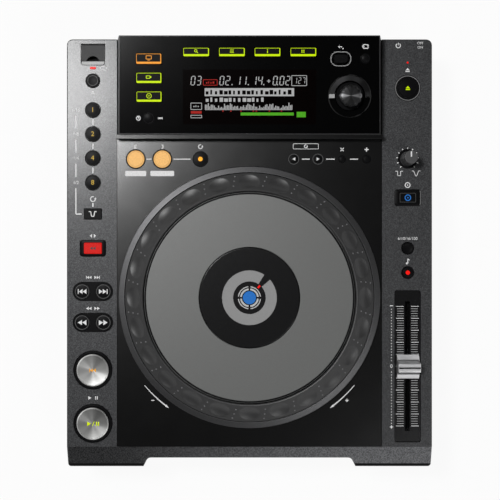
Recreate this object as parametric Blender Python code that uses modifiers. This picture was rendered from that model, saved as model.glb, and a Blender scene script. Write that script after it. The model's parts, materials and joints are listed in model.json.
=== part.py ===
"""Tabletop DJ CD player: case, jog wheel, slot-loading drive, screens and controls, each its own solid.

Metres, +Z up. The origin is the middle of the footprint, on the surface that the feet stand on. +X is the
player's right and +Y its back. A piece that moves has its object's origin on the axis of its joint.
"""

import math

import bmesh
import bpy
from mathutils import Matrix, Vector

# Fits and cuts
GAP = 0.0003  # between two pieces that seat on each other
PIN_PLAY = 0.0001  # round a small pin in its hole
OVERRUN = 0.002  # how far a cutter runs past what it cuts
MERGE = 0.00001  # points closer than this are one

# Steps round a full turn
PIN_STEPS = 10
BUTTON_STEPS = 12
KNOB_STEPS = 24
PLATTER_STEPS = 48
WHEEL_STEPS = 60
ARC_STEP = math.radians(18)
ROUND_SHARE = 0.5  # of a bevel's profile, for a round edge
SHARP_ANGLE = math.radians(35)

# Case
CASE_WALL = 0.0028
PANEL_HEIGHT = 0.079  # top of the side panels above the table
SIDE_PANEL_WIDTH = 0.0418
BACK_CORNER_RADIUS = 0.0048
FRONT_CORNER_RADIUS = 0.0025
EDGE_ROUNDING = 0.0008
LIP_RUN = 0.0179
LIP_DROP = 0.0075
NOTCH_HALF_WIDTH = 0.0852
NOTCH_DEPTH = 0.0078
NOTCH_SLANT = 0.004
NOTCH_FILLET = 0.004
BOSS_RADIUS = 0.0032
BOSS_INSET = 0.002  # from the wall's inner face to the middle of a screw boss
BOSS_ROW_SHARES = (0.17, 0.745)  # of the side panels' length, from the back

# Feet
FOOT_HEIGHT = 0.005
FOOT_RADIUS = 0.012
FOOT_TAPER = 0.0015
FOOT_INSET = 0.026
SPIGOT_RADIUS = 0.003

# Deck and jog wheel
DECK_DROP = 0.0005  # deck panel below the side panels
DECK_THICKNESS = 0.0025
DECK_FRONT_MARGIN = 0.0155
DECK_BACK_MARGIN = 0.0224
DECK_SIDE_MARGIN = 0.0013
SKIRT_RADIUS = 0.1094
SKIRT_RUN = 0.0045
SKIRT_RISE = 0.0045
SKIRT_TOP = 0.001
PAN_WALL = 0.0025
PAN_DEPTH = 0.009
POST_RADIUS = 0.020
POST_SHOULDER = 0.004
POST_BORE_RADIUS = 0.016
POST_RISE = 0.0042
RING_SIDE_GAP = 0.0005
RING_WIDTH = 0.0142
RING_LOW_RISE = 0.0048
RING_HIGH_RISE = 0.0115
RING_INNER_BEVEL = 0.0011
RING_SKIRT_WIDTH = 0.003
RING_FOOT_RISE = 0.0006
WEB_RISE = 0.003
WEB_THICKNESS = 0.0022
DIMPLE_COUNT = 24
DIMPLE_HALF_LENGTH = 0.0088
DIMPLE_HALF_WIDTH = 0.0063
DIMPLE_DEPTH = 0.0015
DIMPLE_BALL_DEPTH = 0.004
DIMPLE_STEPS = 10
DIMPLE_ROWS = 7
PLATTER_SIDE_GAP = 0.001
PLATTER_STEP = 0.0016
PLATTER_RISE = 0.0105
PLATTER_SHEET = 0.0004
PLATTER_THICKNESS = 0.002
PLATTER_RIB = 0.002
PLATTER_RIB_INSET = 0.007
PLATTER_TRAVEL = 0.0005
DISC_RADIUS = 0.0415  # round screen in the middle of the jog wheel
DISC_GAP = 0.0005
DISC_THICKNESS = 0.004
DISC_NECK_RADIUS = 0.019
DISC_STEM_LENGTH = 0.010

# Display block
DISPLAY_DEPTH = 0.0835
BLOCK_FRONT_RISE = 0.012
BLOCK_FRONT_RUN = 0.003
BLOCK_TILT = math.radians(5)
BLOCK_DRAFT = math.radians(9)
BLOCK_WALL = 0.0025
FACE_THICKNESS = 0.002
FACE_RIM = 0.001
FACE_BACKING = 0.0022
LCD_HALF_WIDTH = 0.0548
LCD_HEIGHT = 0.0447
LCD_THICKNESS = 0.005
LCD_ROW_SHARE = 0.380
SELECTOR_RADIUS = 0.0091
SELECTOR_HEIGHT = 0.0138
SELECTOR_SCALLOPS = 12
SELECTOR_SCALLOP_DEPTH = 0.0005
SELECTOR_LIFT = 0.0013
SELECTOR_SHAFT_RADIUS = 0.003
SELECTOR_SHAFT_TOP = 0.009
SELECTOR_BODY_RADIUS = 0.008
SELECTOR_RING_RADIUS = 0.0178
SELECTOR_RING_BORE = 0.0116
SELECTOR_RING_RISE = 0.0016

# Screw-free controls: each cap stands through its panel, and its flange stays under it
FLANGE = 0.001
FLANGE_THICKNESS = 0.0012
CAP_RISE = 0.0015
CAP_CHAMFER = 0.0004
LOOP_RADIUS = 0.0057
STOP_RADIUS = 0.0052
EJECT_RADIUS = 0.0078
TEMPO_BUTTON_RADIUS = 0.0045
DECK_LOOP_RADIUS = 0.0071
RELOOP_RADIUS = 0.0060
CALL_RADIUS = 0.0034
DELETE_RADIUS = 0.0026
MEMORY_RADIUS = 0.0031
TIME_RADIUS = 0.0040
TAG_TRACK_RADIUS = 0.0033
SOURCE_KEY = (0.0208, 0.0086)
MENU_KEY = (0.0213, 0.0071)
BACK_KEY = (0.0114, 0.0070)
BEAT_KEY = (0.0146, 0.0088)
LIT_KEY = (0.0147, 0.0090)
TRANSPORT_EDGE = 0.0047  # from the side panel's edges to the hole of the cue and play buttons
TRANSPORT_RISE = 0.0028
TRANSPORT_COLLAR = 0.0029
TRANSPORT_COLLAR_RISE = 0.0008
TRANSPORT_PITCH = 0.0445
PLAY_FRONT_MARGIN = 0.0033
PAIR_GAP = 0.0025

# Places of the controls
LEFT_COLUMN_SHARE = 0.5215  # of the side panel's width, from its outer edge
RIGHT_COLUMN_SHARE = 0.489
PAIR_SHARE = 0.212
PANEL_ROW_SHARES = {  # of the side panels' length, from the back
    "usb_stop_button": 0.102,
    "loop_button_1": 0.174,
    "loop_button_2": 0.233,
    "loop_button_4": 0.292,
    "loop_button_8": 0.352,
    "beat_select_button": 0.429,
    "direction_button": 0.513,
    "track_back_button": 0.619,
    "search_back_button": 0.695,
    "eject_button": 0.120,
    "speed_adjust_knob": 0.2935,
    "jog_mode_button": 0.389,
}
DECK_ROW_SHARE = 0.74  # of the deck's back margin, from the display block
DECK_COLUMN_SHARES = {  # of the deck's half width
    "loop_in_button": -0.858,
    "loop_out_button": -0.658,
    "reloop_button": -0.370,
    "call_back_button": 0.334,
    "call_forward_button": 0.517,
    "delete_button": 0.699,
    "memory_button": 0.884,
}
FACE_PLACE_SHARES = {  # of the face's half width and of its length, from its front edge
    "source_button_1": (-0.770, 0.764),
    "source_button_2": (-0.770, 0.571),
    "source_button_3": (-0.770, 0.382),
    "time_mode_button": (-0.775, 0.165),
    "browse_button": (-0.407, 0.831),
    "tag_list_button": (-0.134, 0.831),
    "info_button": (0.138, 0.831),
    "menu_button": (0.412, 0.831),
    "back_button": (0.700, 0.764),
    "tag_track_button": (0.886, 0.767),
    "selector_knob": (0.769, 0.388),
}

# Tempo slider and the knob above it
FADER_TRAVEL = 0.1
FADER_PLATE_WIDTH = 0.022
FADER_PLATE_MARGIN = 0.0093  # from the slot's ends to the plate's ends
FADER_FRONT_MARGIN = 0.0036
FADER_RECESS = 0.0014
FADER_CORNER = 0.002
FADER_FLANGE = 0.0015
FADER_BODY_DEPTH = 0.013
FADER_SLOT_WIDTH = 0.0041
FADER_SLOT_CLEARANCE = 0.0012
FADER_SLOT_DEPTH = 0.0105
STEM_WIDTH = 0.003
STEM_LENGTH = 0.006
STEM_DEPTH = 0.0085
SLIDER_WIDTH = 0.0182
SLIDER_LENGTH = 0.0202
SLIDER_HEIGHT = 0.0148
SLIDER_RIDGE = 0.0070
SLIDER_WAIST = 0.0110
SLIDER_FOOT_SHARE = 0.24  # of its height: the foot's straight side
SLIDER_WAIST_SHARE = 0.45
MASTER_BACK_MARGIN = 0.0148
TEMPO_BUTTON_PITCH = 0.0203
SPEED_KNOB_RADIUS = 0.006
SPEED_KNOB_HEIGHT = 0.0225
SPEED_KNOB_TAPER = 0.0006
SPEED_STEM_RADIUS = 0.003
SPEED_BODY_RADIUS = 0.0045

# USB socket and its cover
USB_COVER_WIDTH = 0.0198
USB_COVER_LENGTH = 0.014
USB_COVER_THICKNESS = 0.003
USB_COVER_PROUD = 0.0003
USB_BACK_MARGIN = 0.004
USB_NOTCH_RADIUS = 0.0057
USB_NOTCH_SETBACK = 0.0017
USB_PIN_RADIUS = 0.0006
USB_PIN_LENGTH = 0.0009
FINGER_RUN = 0.0033
FINGER_DROP = 0.0016
SOCKET_RIM = 0.0014
SOCKET_WELL_DEPTH = 0.005
SOCKET_PORT = (0.0125, 0.0052)
SOCKET_PORT_DEPTH = 0.012
SOCKET_FLOOR = 0.002

# Slot-loading drive
DRIVE_HEADROOM = 0.009
DRIVE_HALF_WIDTH = 0.068
DRIVE_SIDE = 0.005
DRIVE_ROOF = 0.003
DISC_BAY_HEIGHT = 0.0105
DRIVE_FLOOR = 0.0025
DRIVE_SKIRT = 0.006
DRIVE_FRONT_GAP = 0.0005
DRIVE_REAR_ROOM = 0.013
SLOT_STEP = 0.0015
SLOT_HALF_WIDTH = 0.0625
SLOT_HEIGHT = 0.0055
COMPACT_DISC_RADIUS = 0.060
ROLLER_RADIUS = 0.0042
ROLLER_HALF_LENGTH = 0.060
ROLLER_SETBACK = 0.0082
ROLLER_CLEARANCE = 0.001
ROLLER_PIN_RADIUS = 0.0015
ROLLER_PIN_LENGTH = 0.006
DISC_SETBACK = 0.008
TURNTABLE_RADIUS = 0.013
TURNTABLE_THICKNESS = 0.0013
SPINDLE_RADIUS = 0.0073
SPINDLE_RISE = 0.0004
HUB_SHAFT_RADIUS = 0.0025
HUB_COLLAR_RADIUS = 0.005
HUB_COLLAR_LENGTH = 0.0022
SLED_REST = 0.024  # from the spindle to the middle of the sled
SLED_TRAVEL = 0.034
SLED_HALF_LENGTH = 0.009
SLED_HALF_WIDTH = 0.0165
SLED_NECK_HALF_WIDTH = 0.0135
SLED_FLANGE = 0.0010
SLED_END_GAP = 0.0006
LENS_RADIUS = 0.003
LENS_RISE = 0.0004
DRIVE_POST_RADIUS = 0.0035
DRIVE_POST_INSET = 0.010

# Jack bay, board and power button at the back
BAY_DEPTH = 0.009
BAY_END = 0.0125
BAY_ROOF = 0.0028
BAY_CLEARANCE = 0.0005
BOARD_STANDOFF = 0.003
BOARD_THICKNESS = 0.0016
BOARD_HALF_WIDTH = 0.118
BOARD_DEPTH = 0.062
BOARD_POST_RADIUS = 0.003
BOARD_POST_INSET = 0.008
INLET_PLACE_SHARE = -0.66  # of the case's half width, as are the four below
RCA_PLACE_SHARES = (-0.36, -0.23, -0.10)
USB_B_PLACE_SHARE = 0.22
CONTROL_JACK_PLACE_SHARE = 0.42
POWER_PLACE_SHARE = 0.845
INLET_SIZE = (0.0275, 0.022, 0.019)
INLET_OPENING = (0.024, 0.0162)
INLET_OPENING_DEPTH = 0.016
RCA_RADIUS = 0.0041
RCA_BORE_RADIUS = 0.0016
RCA_REACH = 0.008
RCA_BLOCK = (0.011, 0.010)
USB_B_SIZE = (0.012, 0.016, 0.0112)
USB_B_OPENING = (0.0084, 0.0078)
USB_B_OPENING_DEPTH = 0.009
CONTROL_JACK_RADIUS = 0.0040
CONTROL_JACK_BORE_RADIUS = 0.0018
CONTROL_JACK_REACH = 0.0015
POWER_RADIUS = 0.0045
POWER_REACH = 0.004
VENT_COUNT = 7
VENT_SIZE = (0.034, 0.003)
VENT_PITCH = 0.009

# Heights and outlines that follow from the sizes above
DECK_HEIGHT = PANEL_HEIGHT - DECK_DROP
SHELF_TOP = DECK_HEIGHT - DECK_THICKNESS - GAP
SHELF_BOTTOM = SHELF_TOP - CASE_WALL
PAN_BOTTOM = DECK_HEIGHT - PAN_DEPTH - PAN_WALL
DECK_HALF_WIDTH = SKIRT_RADIUS + DECK_SIDE_MARGIN
HALF_WIDTH = DECK_HALF_WIDTH + SIDE_PANEL_WIDTH
BODY_DEPTH = LIP_RUN + DECK_FRONT_MARGIN + 2 * SKIRT_RADIUS + DECK_BACK_MARGIN + DISPLAY_DEPTH
BACK_Y = BODY_DEPTH / 2
FRONT_Y = -BACK_Y
LIP_LINE_Y = FRONT_Y + LIP_RUN
JOG_Y = LIP_LINE_Y + DECK_FRONT_MARGIN + SKIRT_RADIUS
BLOCK_FRONT_Y = BACK_Y - DISPLAY_DEPTH
PANEL_LENGTH = BACK_Y - LIP_LINE_Y
CAVITY_FRONT_Y = FRONT_Y + NOTCH_DEPTH + CASE_WALL
LEFT_X = -HALF_WIDTH + LEFT_COLUMN_SHARE * SIDE_PANEL_WIDTH
RIGHT_X = HALF_WIDTH - RIGHT_COLUMN_SHARE * SIDE_PANEL_WIDTH
PAN_RADIUS = SKIRT_RADIUS - SKIRT_RUN - SKIRT_TOP
BOARD_LOW = FOOT_HEIGHT + CASE_WALL + BOARD_STANDOFF
BOARD_TOP = BOARD_LOW + BOARD_THICKNESS
BAY_LOW = BOARD_TOP - BAY_ROOF
BAY_TOP = BOARD_TOP + INLET_SIZE[2] + BAY_CLEARANCE
SPLIT = BAY_TOP + BAY_ROOF
BAY_WALL_Y = BACK_Y - BAY_DEPTH
JACK_HEIGHT = BOARD_TOP + INLET_SIZE[2] / 2

# Looks: base colour, roughness and metallic value
GRAPHITE = ((0.060, 0.062, 0.068), 0.42, 0.0)
TEXTURED_BLACK = ((0.022, 0.022, 0.024), 0.60, 0.0)
GLOSS_BLACK = ((0.008, 0.008, 0.009), 0.10, 0.0)
SATIN_BLACK = ((0.014, 0.014, 0.015), 0.35, 0.0)
RING_GREY = ((0.045, 0.045, 0.047), 0.38, 0.0)
PLATTER_GREY = ((0.150, 0.153, 0.150), 0.30, 0.3)
SPUN_METAL = ((0.600, 0.600, 0.600), 0.28, 1.0)
SILVER = ((0.550, 0.550, 0.560), 0.30, 0.8)
STEEL = ((0.450, 0.450, 0.460), 0.35, 1.0)
RUBBER = ((0.015, 0.015, 0.015), 0.80, 0.0)
BOARD_GREEN = ((0.020, 0.110, 0.050), 0.45, 0.0)
ORANGE_LIGHT = ((0.900, 0.420, 0.120), 0.40, 0.0)
RED_LIGHT = ((0.700, 0.030, 0.020), 0.40, 0.0)


def empty_scene():
    """Removes every object that the scene holds."""
    for old in list(bpy.data.objects):
        bpy.data.objects.remove(old)


empty_scene()
PLAYER = bpy.data.collections.new("dj_cd_player")
CUTTERS = bpy.data.collections.new("cutters")
SOLIDS = {}  # the pieces by name
TOOLS = {}  # the collection of cutters or joined shapes for each stage of each piece


def paint(name, colour, roughness, metallic):
    made = bpy.data.materials.new(name)
    made.use_nodes = True
    shader = made.node_tree.nodes["Principled BSDF"]
    shader.inputs["Base Color"].default_value = (*colour, 1)
    shader.inputs["Roughness"].default_value = roughness
    shader.inputs["Metallic"].default_value = metallic
    return made


def add_piece(name, mesh, look, place=(0, 0, 0), plane=None, turn=(0, 0, 0)):
    """A piece of the player, at a place on its panel's plane, or in the player's own frame."""
    piece = bpy.data.objects.new(name, mesh)
    piece.location = place
    piece.rotation_euler = turn
    piece.parent = plane
    piece.data.materials.append(paint(name, *look))
    PLAYER.objects.link(piece)
    SOLIDS[name] = piece
    return piece


def combine(name, stage, operation, mesh, place, plane, turn):
    """Adds a hidden shape to one stage of a piece's Booleans. Stages run in the order of their first use."""
    if (name, stage) not in TOOLS:
        TOOLS[name, stage] = bpy.data.collections.new(f"{name}_{stage}")
        CUTTERS.children.link(TOOLS[name, stage])
        boolean = SOLIDS[name].modifiers.new(stage, "BOOLEAN")
        boolean.operation = operation
        boolean.solver = "EXACT"
        boolean.operand_type = "COLLECTION"
        boolean.collection = TOOLS[name, stage]
    tool = bpy.data.objects.new(f"{name}_{stage}", mesh)
    tool.location = place
    tool.rotation_euler = turn
    tool.parent = plane
    tool.hide_render = True
    tool.display_type = "WIRE"
    TOOLS[name, stage].objects.link(tool)


def cut(name, mesh, place=(0, 0, 0), plane=None, turn=(0, 0, 0), stage="holes"):
    combine(name, stage, "DIFFERENCE", mesh, place, plane, turn)


def join(name, mesh, place=(0, 0, 0), plane=None, turn=(0, 0, 0), stage="joined"):
    combine(name, stage, "UNION", mesh, place, plane, turn)


def mesh_from(bm):
    """A mesh from a closed bmesh, its faces pointing out and its round sides smooth."""
    bmesh.ops.recalc_face_normals(bm, faces=bm.faces)
    mesh = bpy.data.meshes.new("shape")
    bm.to_mesh(mesh)
    bm.free()
    mesh.shade_smooth()
    mesh.set_sharp_from_angle(angle=SHARP_ANGLE)
    return mesh


def evaluated_bmesh(guide):
    """The welded mesh that a guide object evaluates to. The guide is removed."""
    bpy.context.scene.collection.objects.link(guide)
    graph = bpy.context.evaluated_depsgraph_get()
    mesh = bpy.data.meshes.new_from_object(guide.evaluated_get(graph))
    bpy.data.objects.remove(guide)
    bm = bmesh.new()
    bm.from_mesh(mesh)
    bpy.data.meshes.remove(mesh)
    bmesh.ops.remove_doubles(bm, verts=bm.verts, dist=MERGE)
    return bm


def turned(profile, steps, ring=False):
    """A shape turned about Z from (radius, height) points down its outer side. A ring's profile closes."""
    edges = [(start, start + 1) for start in range(len(profile) - 1)]
    if ring:
        edges.append((len(profile) - 1, 0))
    guide_mesh = bpy.data.meshes.new("profile")
    guide_mesh.from_pydata([(radius, 0, height) for radius, height in profile], edges, [])
    guide = bpy.data.objects.new("profile", guide_mesh)
    screw = guide.modifiers.new("turn", "SCREW")
    screw.steps = steps
    screw.render_steps = steps
    screw.use_merge_vertices = True
    screw.merge_threshold = MERGE
    return mesh_from(evaluated_bmesh(guide))


def plate_bmesh(loops, low, high):
    """A plate between two heights, from an outer loop of (x, y) points and the loops of its holes."""
    curve = bpy.data.curves.new("outline", "CURVE")
    curve.dimensions = "2D"
    curve.fill_mode = "BOTH"
    curve.extrude = (high - low) / 2
    for loop in loops:
        spline = curve.splines.new("POLY")
        spline.points.add(len(loop) - 1)
        for point, (x, y) in zip(spline.points, loop):
            point.co = (x, y, 0, 1)
        spline.use_cyclic_u = True
    bm = evaluated_bmesh(bpy.data.objects.new("outline", curve))
    bmesh.ops.translate(bm, verts=bm.verts, vec=(0, 0, (high + low) / 2))
    return bm


def plate(loops, low, high):
    return mesh_from(plate_bmesh(loops, low, high))


def beam_along_x(outline, half_width):
    """A beam along X whose section is a loop of (y, z) points."""
    bm = plate_bmesh([outline], -half_width, half_width)
    to_yz = Matrix(((0, 0, 1), (1, 0, 0), (0, 1, 0)))
    bmesh.ops.transform(bm, verts=bm.verts, matrix=to_yz.to_4x4())
    return mesh_from(bm)


def beam_along_y(outline, half_length):
    """A beam along Y whose section is a loop of (x, z) points."""
    bm = plate_bmesh([outline], -half_length, half_length)
    bmesh.ops.rotate(bm, verts=bm.verts, matrix=Matrix.Rotation(math.pi / 2, 3, "X"))
    return mesh_from(bm)


def block(width, depth, low, high, corner=0, corner_steps=3):
    """A box centred on Z, its upright corners rounded."""
    bm = bmesh.new()
    bmesh.ops.create_cube(bm, size=1)
    bmesh.ops.scale(bm, verts=bm.verts, vec=(width, depth, high - low))
    bmesh.ops.translate(bm, verts=bm.verts, vec=(0, 0, (high + low) / 2))
    if corner:
        upright = [e for e in bm.edges if abs(e.verts[0].co.z - e.verts[1].co.z) > MERGE]
        bmesh.ops.bevel(
            bm, geom=upright, offset=corner, segments=corner_steps, profile=ROUND_SHARE, affect="EDGES"
        )
    return mesh_from(bm)


def span(x_low, x_high, y_low, y_high, low, high):
    """A box between six planes."""
    bm = bmesh.new()
    bmesh.ops.create_cube(bm, size=1)
    bmesh.ops.scale(bm, verts=bm.verts, vec=(x_high - x_low, y_high - y_low, high - low))
    middle = ((x_low + x_high) / 2, (y_low + y_high) / 2, (low + high) / 2)
    bmesh.ops.translate(bm, verts=bm.verts, vec=middle)
    return mesh_from(bm)


def drum(radius, low, high, steps=BUTTON_STEPS):
    """A round bar along Z."""
    bm = bmesh.new()
    middle = Matrix.Translation((0, 0, (high + low) / 2))
    bmesh.ops.create_cone(
        bm, cap_ends=True, segments=steps, radius1=radius, radius2=radius, depth=high - low, matrix=middle
    )
    return mesh_from(bm)


def circle(radius, steps):
    turn = 2 * math.pi / steps
    return [(radius * math.cos(turn * k), radius * math.sin(turn * k)) for k in range(steps)]


def rounded_outline(corners):
    """Points round a closed outline of (x, y, radius) corners. A corner of no radius stays sharp."""
    points = []
    for index, (x, y, radius) in enumerate(corners):
        corner = Vector((x, y))
        if not radius:
            points.append(tuple(corner))
            continue
        before = (Vector(corners[index - 1][:2]) - corner).normalized()
        after = (Vector(corners[(index + 1) % len(corners)][:2]) - corner).normalized()
        half_angle = before.angle(after) / 2
        centre = corner + (before + after).normalized() * radius / math.sin(half_angle)
        first = corner + before * radius / math.tan(half_angle) - centre
        last = corner + after * radius / math.tan(half_angle) - centre
        start = math.atan2(first.y, first.x)
        sweep = (math.atan2(last.y, last.x) - start + math.pi) % (2 * math.pi) - math.pi
        steps = max(1, round(abs(sweep) / ARC_STEP))
        for k in range(steps + 1):
            angle = start + sweep * k / steps
            points.append((centre.x + radius * math.cos(angle), centre.y + radius * math.sin(angle)))
    return points


def row_y(name):
    """Where a row of controls lies on the side panels."""
    return BACK_Y - PANEL_ROW_SHARES[name] * PANEL_LENGTH


class Skin:
    """A flat panel that controls stand through: a cap's hole goes in front, and its flange's goes behind."""

    def __init__(self, height, thickness, plane, front, behind=None):
        self.height = height
        self.under = -thickness - GAP
        self.plane = plane
        self.front = front
        self.behind = behind

    def open(self, place, cap_hole, flange_hole):
        """Makes the holes for one control, with room round it."""
        cut(self.front, cap_hole, place, self.plane)
        if self.behind:
            cut(self.behind, flange_hole, place, self.plane)


def round_button(name, skin, x, y, radius, look, rise=CAP_RISE, collar=0, collar_rise=0, steps=BUTTON_STEPS):
    """A round button: a flange under the panel, and a cap through it, which may stand on a lower collar."""
    place = (x, y, skin.height)
    seat = radius + FLANGE
    low = skin.under - FLANGE_THICKNESS
    cap = radius - collar
    profile = [(0, rise), (cap - CAP_CHAMFER, rise), (cap, rise - CAP_CHAMFER)]
    if collar:
        profile += [(cap, collar_rise), (radius, collar_rise)]
    profile += [(radius, skin.under), (seat, skin.under), (seat, low), (0, low)]
    add_piece(name, turned(profile, steps), look, place, skin.plane)
    top = rise + OVERRUN
    skin.open(
        place,
        drum(radius + GAP, skin.under - OVERRUN, top, steps),
        drum(seat + GAP, low - 2 * OVERRUN, top, steps),
    )


def key(name, skin, x, y, size, look, rise=CAP_RISE):
    """A rectangular button: its flange's upper face is inset and drawn up through the panel as the cap."""
    place = (x, y, skin.height)
    width, depth = size
    low = skin.under - FLANGE_THICKNESS
    bm = bmesh.new()
    bmesh.ops.create_cube(bm, size=1)
    bmesh.ops.scale(bm, verts=bm.verts, vec=(width + 2 * FLANGE, depth + 2 * FLANGE, FLANGE_THICKNESS))
    bmesh.ops.translate(bm, verts=bm.verts, vec=(0, 0, (low + skin.under) / 2))
    upper = max(bm.faces, key=lambda face: face.calc_center_median().z)
    bmesh.ops.inset_region(bm, faces=[upper], thickness=FLANGE, use_even_offset=True)
    cap = bmesh.ops.extrude_discrete_faces(bm, faces=[upper])["faces"][0]
    bmesh.ops.translate(bm, verts=cap.verts, vec=(0, 0, rise - skin.under))
    soft = [e for e in bm.edges if max(v.co.z for v in e.verts) > rise - MERGE]
    bmesh.ops.bevel(bm, geom=soft, offset=CAP_CHAMFER, segments=1, profile=ROUND_SHARE, affect="EDGES")
    add_piece(name, mesh_from(bm), look, place, skin.plane)
    top = rise + OVERRUN
    around = 2 * (FLANGE + GAP)
    skin.open(
        place,
        block(width + 2 * GAP, depth + 2 * GAP, skin.under - OVERRUN, top),
        block(width + around, depth + around, low - 2 * OVERRUN, top),
    )


def case_outline():
    """The case from above: small rounded corners, and the notch in the middle of its front."""
    return rounded_outline([
        (-HALF_WIDTH, FRONT_Y, FRONT_CORNER_RADIUS),
        (-NOTCH_HALF_WIDTH - NOTCH_SLANT, FRONT_Y, 0),
        (-NOTCH_HALF_WIDTH, FRONT_Y + NOTCH_DEPTH, NOTCH_FILLET),
        (NOTCH_HALF_WIDTH, FRONT_Y + NOTCH_DEPTH, NOTCH_FILLET),
        (NOTCH_HALF_WIDTH + NOTCH_SLANT, FRONT_Y, 0),
        (HALF_WIDTH, FRONT_Y, FRONT_CORNER_RADIUS),
        (HALF_WIDTH, BACK_Y, BACK_CORNER_RADIUS),
        (-HALF_WIDTH, BACK_Y, BACK_CORNER_RADIUS),
    ])


def boss_places():
    """The middles of the screw bosses, which stand against the side walls."""
    x = HALF_WIDTH - CASE_WALL - BOSS_INSET
    return [(side * x, BACK_Y - share * PANEL_LENGTH) for side in (-1, 1) for share in BOSS_ROW_SHARES]


def upper_case():
    """Top shell: side panels, walls, sloped front lip, and the shelf under the deck and display block."""
    bm = plate_bmesh([case_outline()], SPLIT + GAP / 2, PANEL_HEIGHT)
    everything = bm.verts[:] + bm.edges[:] + bm.faces[:]
    bmesh.ops.bisect_plane(bm, geom=everything, plane_co=(0, LIP_LINE_Y, 0), plane_no=(0, 1, 0))
    for vert in bm.verts:
        if vert.co.z > PANEL_HEIGHT - MERGE and vert.co.y < LIP_LINE_Y:
            vert.co.z -= LIP_DROP * (LIP_LINE_Y - vert.co.y) / LIP_RUN
    bmesh.ops.recalc_face_normals(bm, faces=bm.faces)
    bmesh.ops.dissolve_limit(bm, angle_limit=math.radians(1), verts=bm.verts, edges=bm.edges)
    rim = [e for e in bm.edges if sorted(round(f.normal.z) for f in e.link_faces) == [0, 1]]
    bmesh.ops.bevel(bm, geom=rim, offset=EDGE_ROUNDING, segments=2, profile=ROUND_SHARE, affect="EDGES")
    add_piece("upper_case", mesh_from(bm), GRAPHITE)
    inner = HALF_WIDTH - CASE_WALL
    inner_back = BACK_Y - CASE_WALL
    under_split = SPLIT - OVERRUN
    deck_side = DECK_HALF_WIDTH + CASE_WALL
    ceiling = PANEL_HEIGHT - CASE_WALL
    rising = [(inner, under_split), (inner, ceiling), (deck_side, ceiling), (deck_side, SHELF_BOTTOM)]
    section = rising + [(-x, z) for x, z in reversed(rising)]
    hollow = beam_along_y(section, (inner_back - LIP_LINE_Y) / 2)
    cut("upper_case", hollow, (0, (inner_back + LIP_LINE_Y) / 2, 0), stage="hollow")
    narrow = inner - GAP
    behind_lip = LIP_LINE_Y + OVERRUN
    front_bay = span(-narrow, narrow, CAVITY_FRONT_Y, behind_lip, under_split - OVERRUN, SHELF_BOTTOM - GAP)
    cut("upper_case", front_bay, stage="hollow")
    above = PANEL_HEIGHT + OVERRUN
    recess = span(-DECK_HALF_WIDTH, DECK_HALF_WIDTH, LIP_LINE_Y, BACK_Y + OVERRUN, SHELF_TOP, above)
    cut("upper_case", recess, stage="hollow")
    for x, y in boss_places():
        join("upper_case", drum(BOSS_RADIUS, SPLIT + GAP / 2, ceiling + CASE_WALL / 2, PIN_STEPS), (x, y, 0))
    pan_hole = drum(PAN_RADIUS + PAN_WALL + GAP, SHELF_BOTTOM - OVERRUN, above, WHEEL_STEPS)
    cut("upper_case", pan_hole, (0, JOG_Y, 0))
    opening_half = DECK_HALF_WIDTH - 4 * CASE_WALL
    opening = span(
        -opening_half, opening_half, BLOCK_FRONT_Y + 4 * CASE_WALL, inner_back - CASE_WALL,
        SHELF_BOTTOM - OVERRUN, above,
    )
    cut("upper_case", opening)


def foot_places():
    return {
        "foot_front_left": (-HALF_WIDTH + FOOT_INSET, FRONT_Y + FOOT_INSET),
        "foot_front_right": (HALF_WIDTH - FOOT_INSET, FRONT_Y + FOOT_INSET),
        "foot_rear_left": (-HALF_WIDTH + FOOT_INSET, BACK_Y - FOOT_INSET),
        "foot_rear_right": (HALF_WIDTH - FOOT_INSET, BACK_Y - FOOT_INSET),
    }


def feet():
    """Rubber feet, each with a spigot through the bottom of the case."""
    top = FOOT_HEIGHT - GAP
    profile = [
        (0, FOOT_HEIGHT + CASE_WALL), (SPIGOT_RADIUS, FOOT_HEIGHT + CASE_WALL), (SPIGOT_RADIUS, top),
        (FOOT_RADIUS, top), (FOOT_RADIUS - FOOT_TAPER, 0), (0, 0),
    ]
    for name, (x, y) in foot_places().items():
        add_piece(name, turned(profile, BUTTON_STEPS), RUBBER, (x, y, 0))
        cut("lower_case", drum(SPIGOT_RADIUS + GAP, 0, FOOT_HEIGHT + CASE_WALL + OVERRUN), (x, y, 0))


def drive_post_places():
    x = DRIVE_HALF_WIDTH - DRIVE_SIDE / 2
    rows = (drive_front() + DRIVE_POST_INSET, drive_back() - DRIVE_POST_INSET)
    return [(side * x, y) for side in (-1, 1) for y in rows]


def board_post_places():
    x = BOARD_HALF_WIDTH - BOARD_POST_INSET
    back = BAY_WALL_Y - CASE_WALL - GAP
    rows = (back - BOARD_DEPTH + BOARD_POST_INSET, back - BOARD_POST_INSET)
    return [(side * x, y) for side in (-1, 1) for y in rows]


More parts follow.
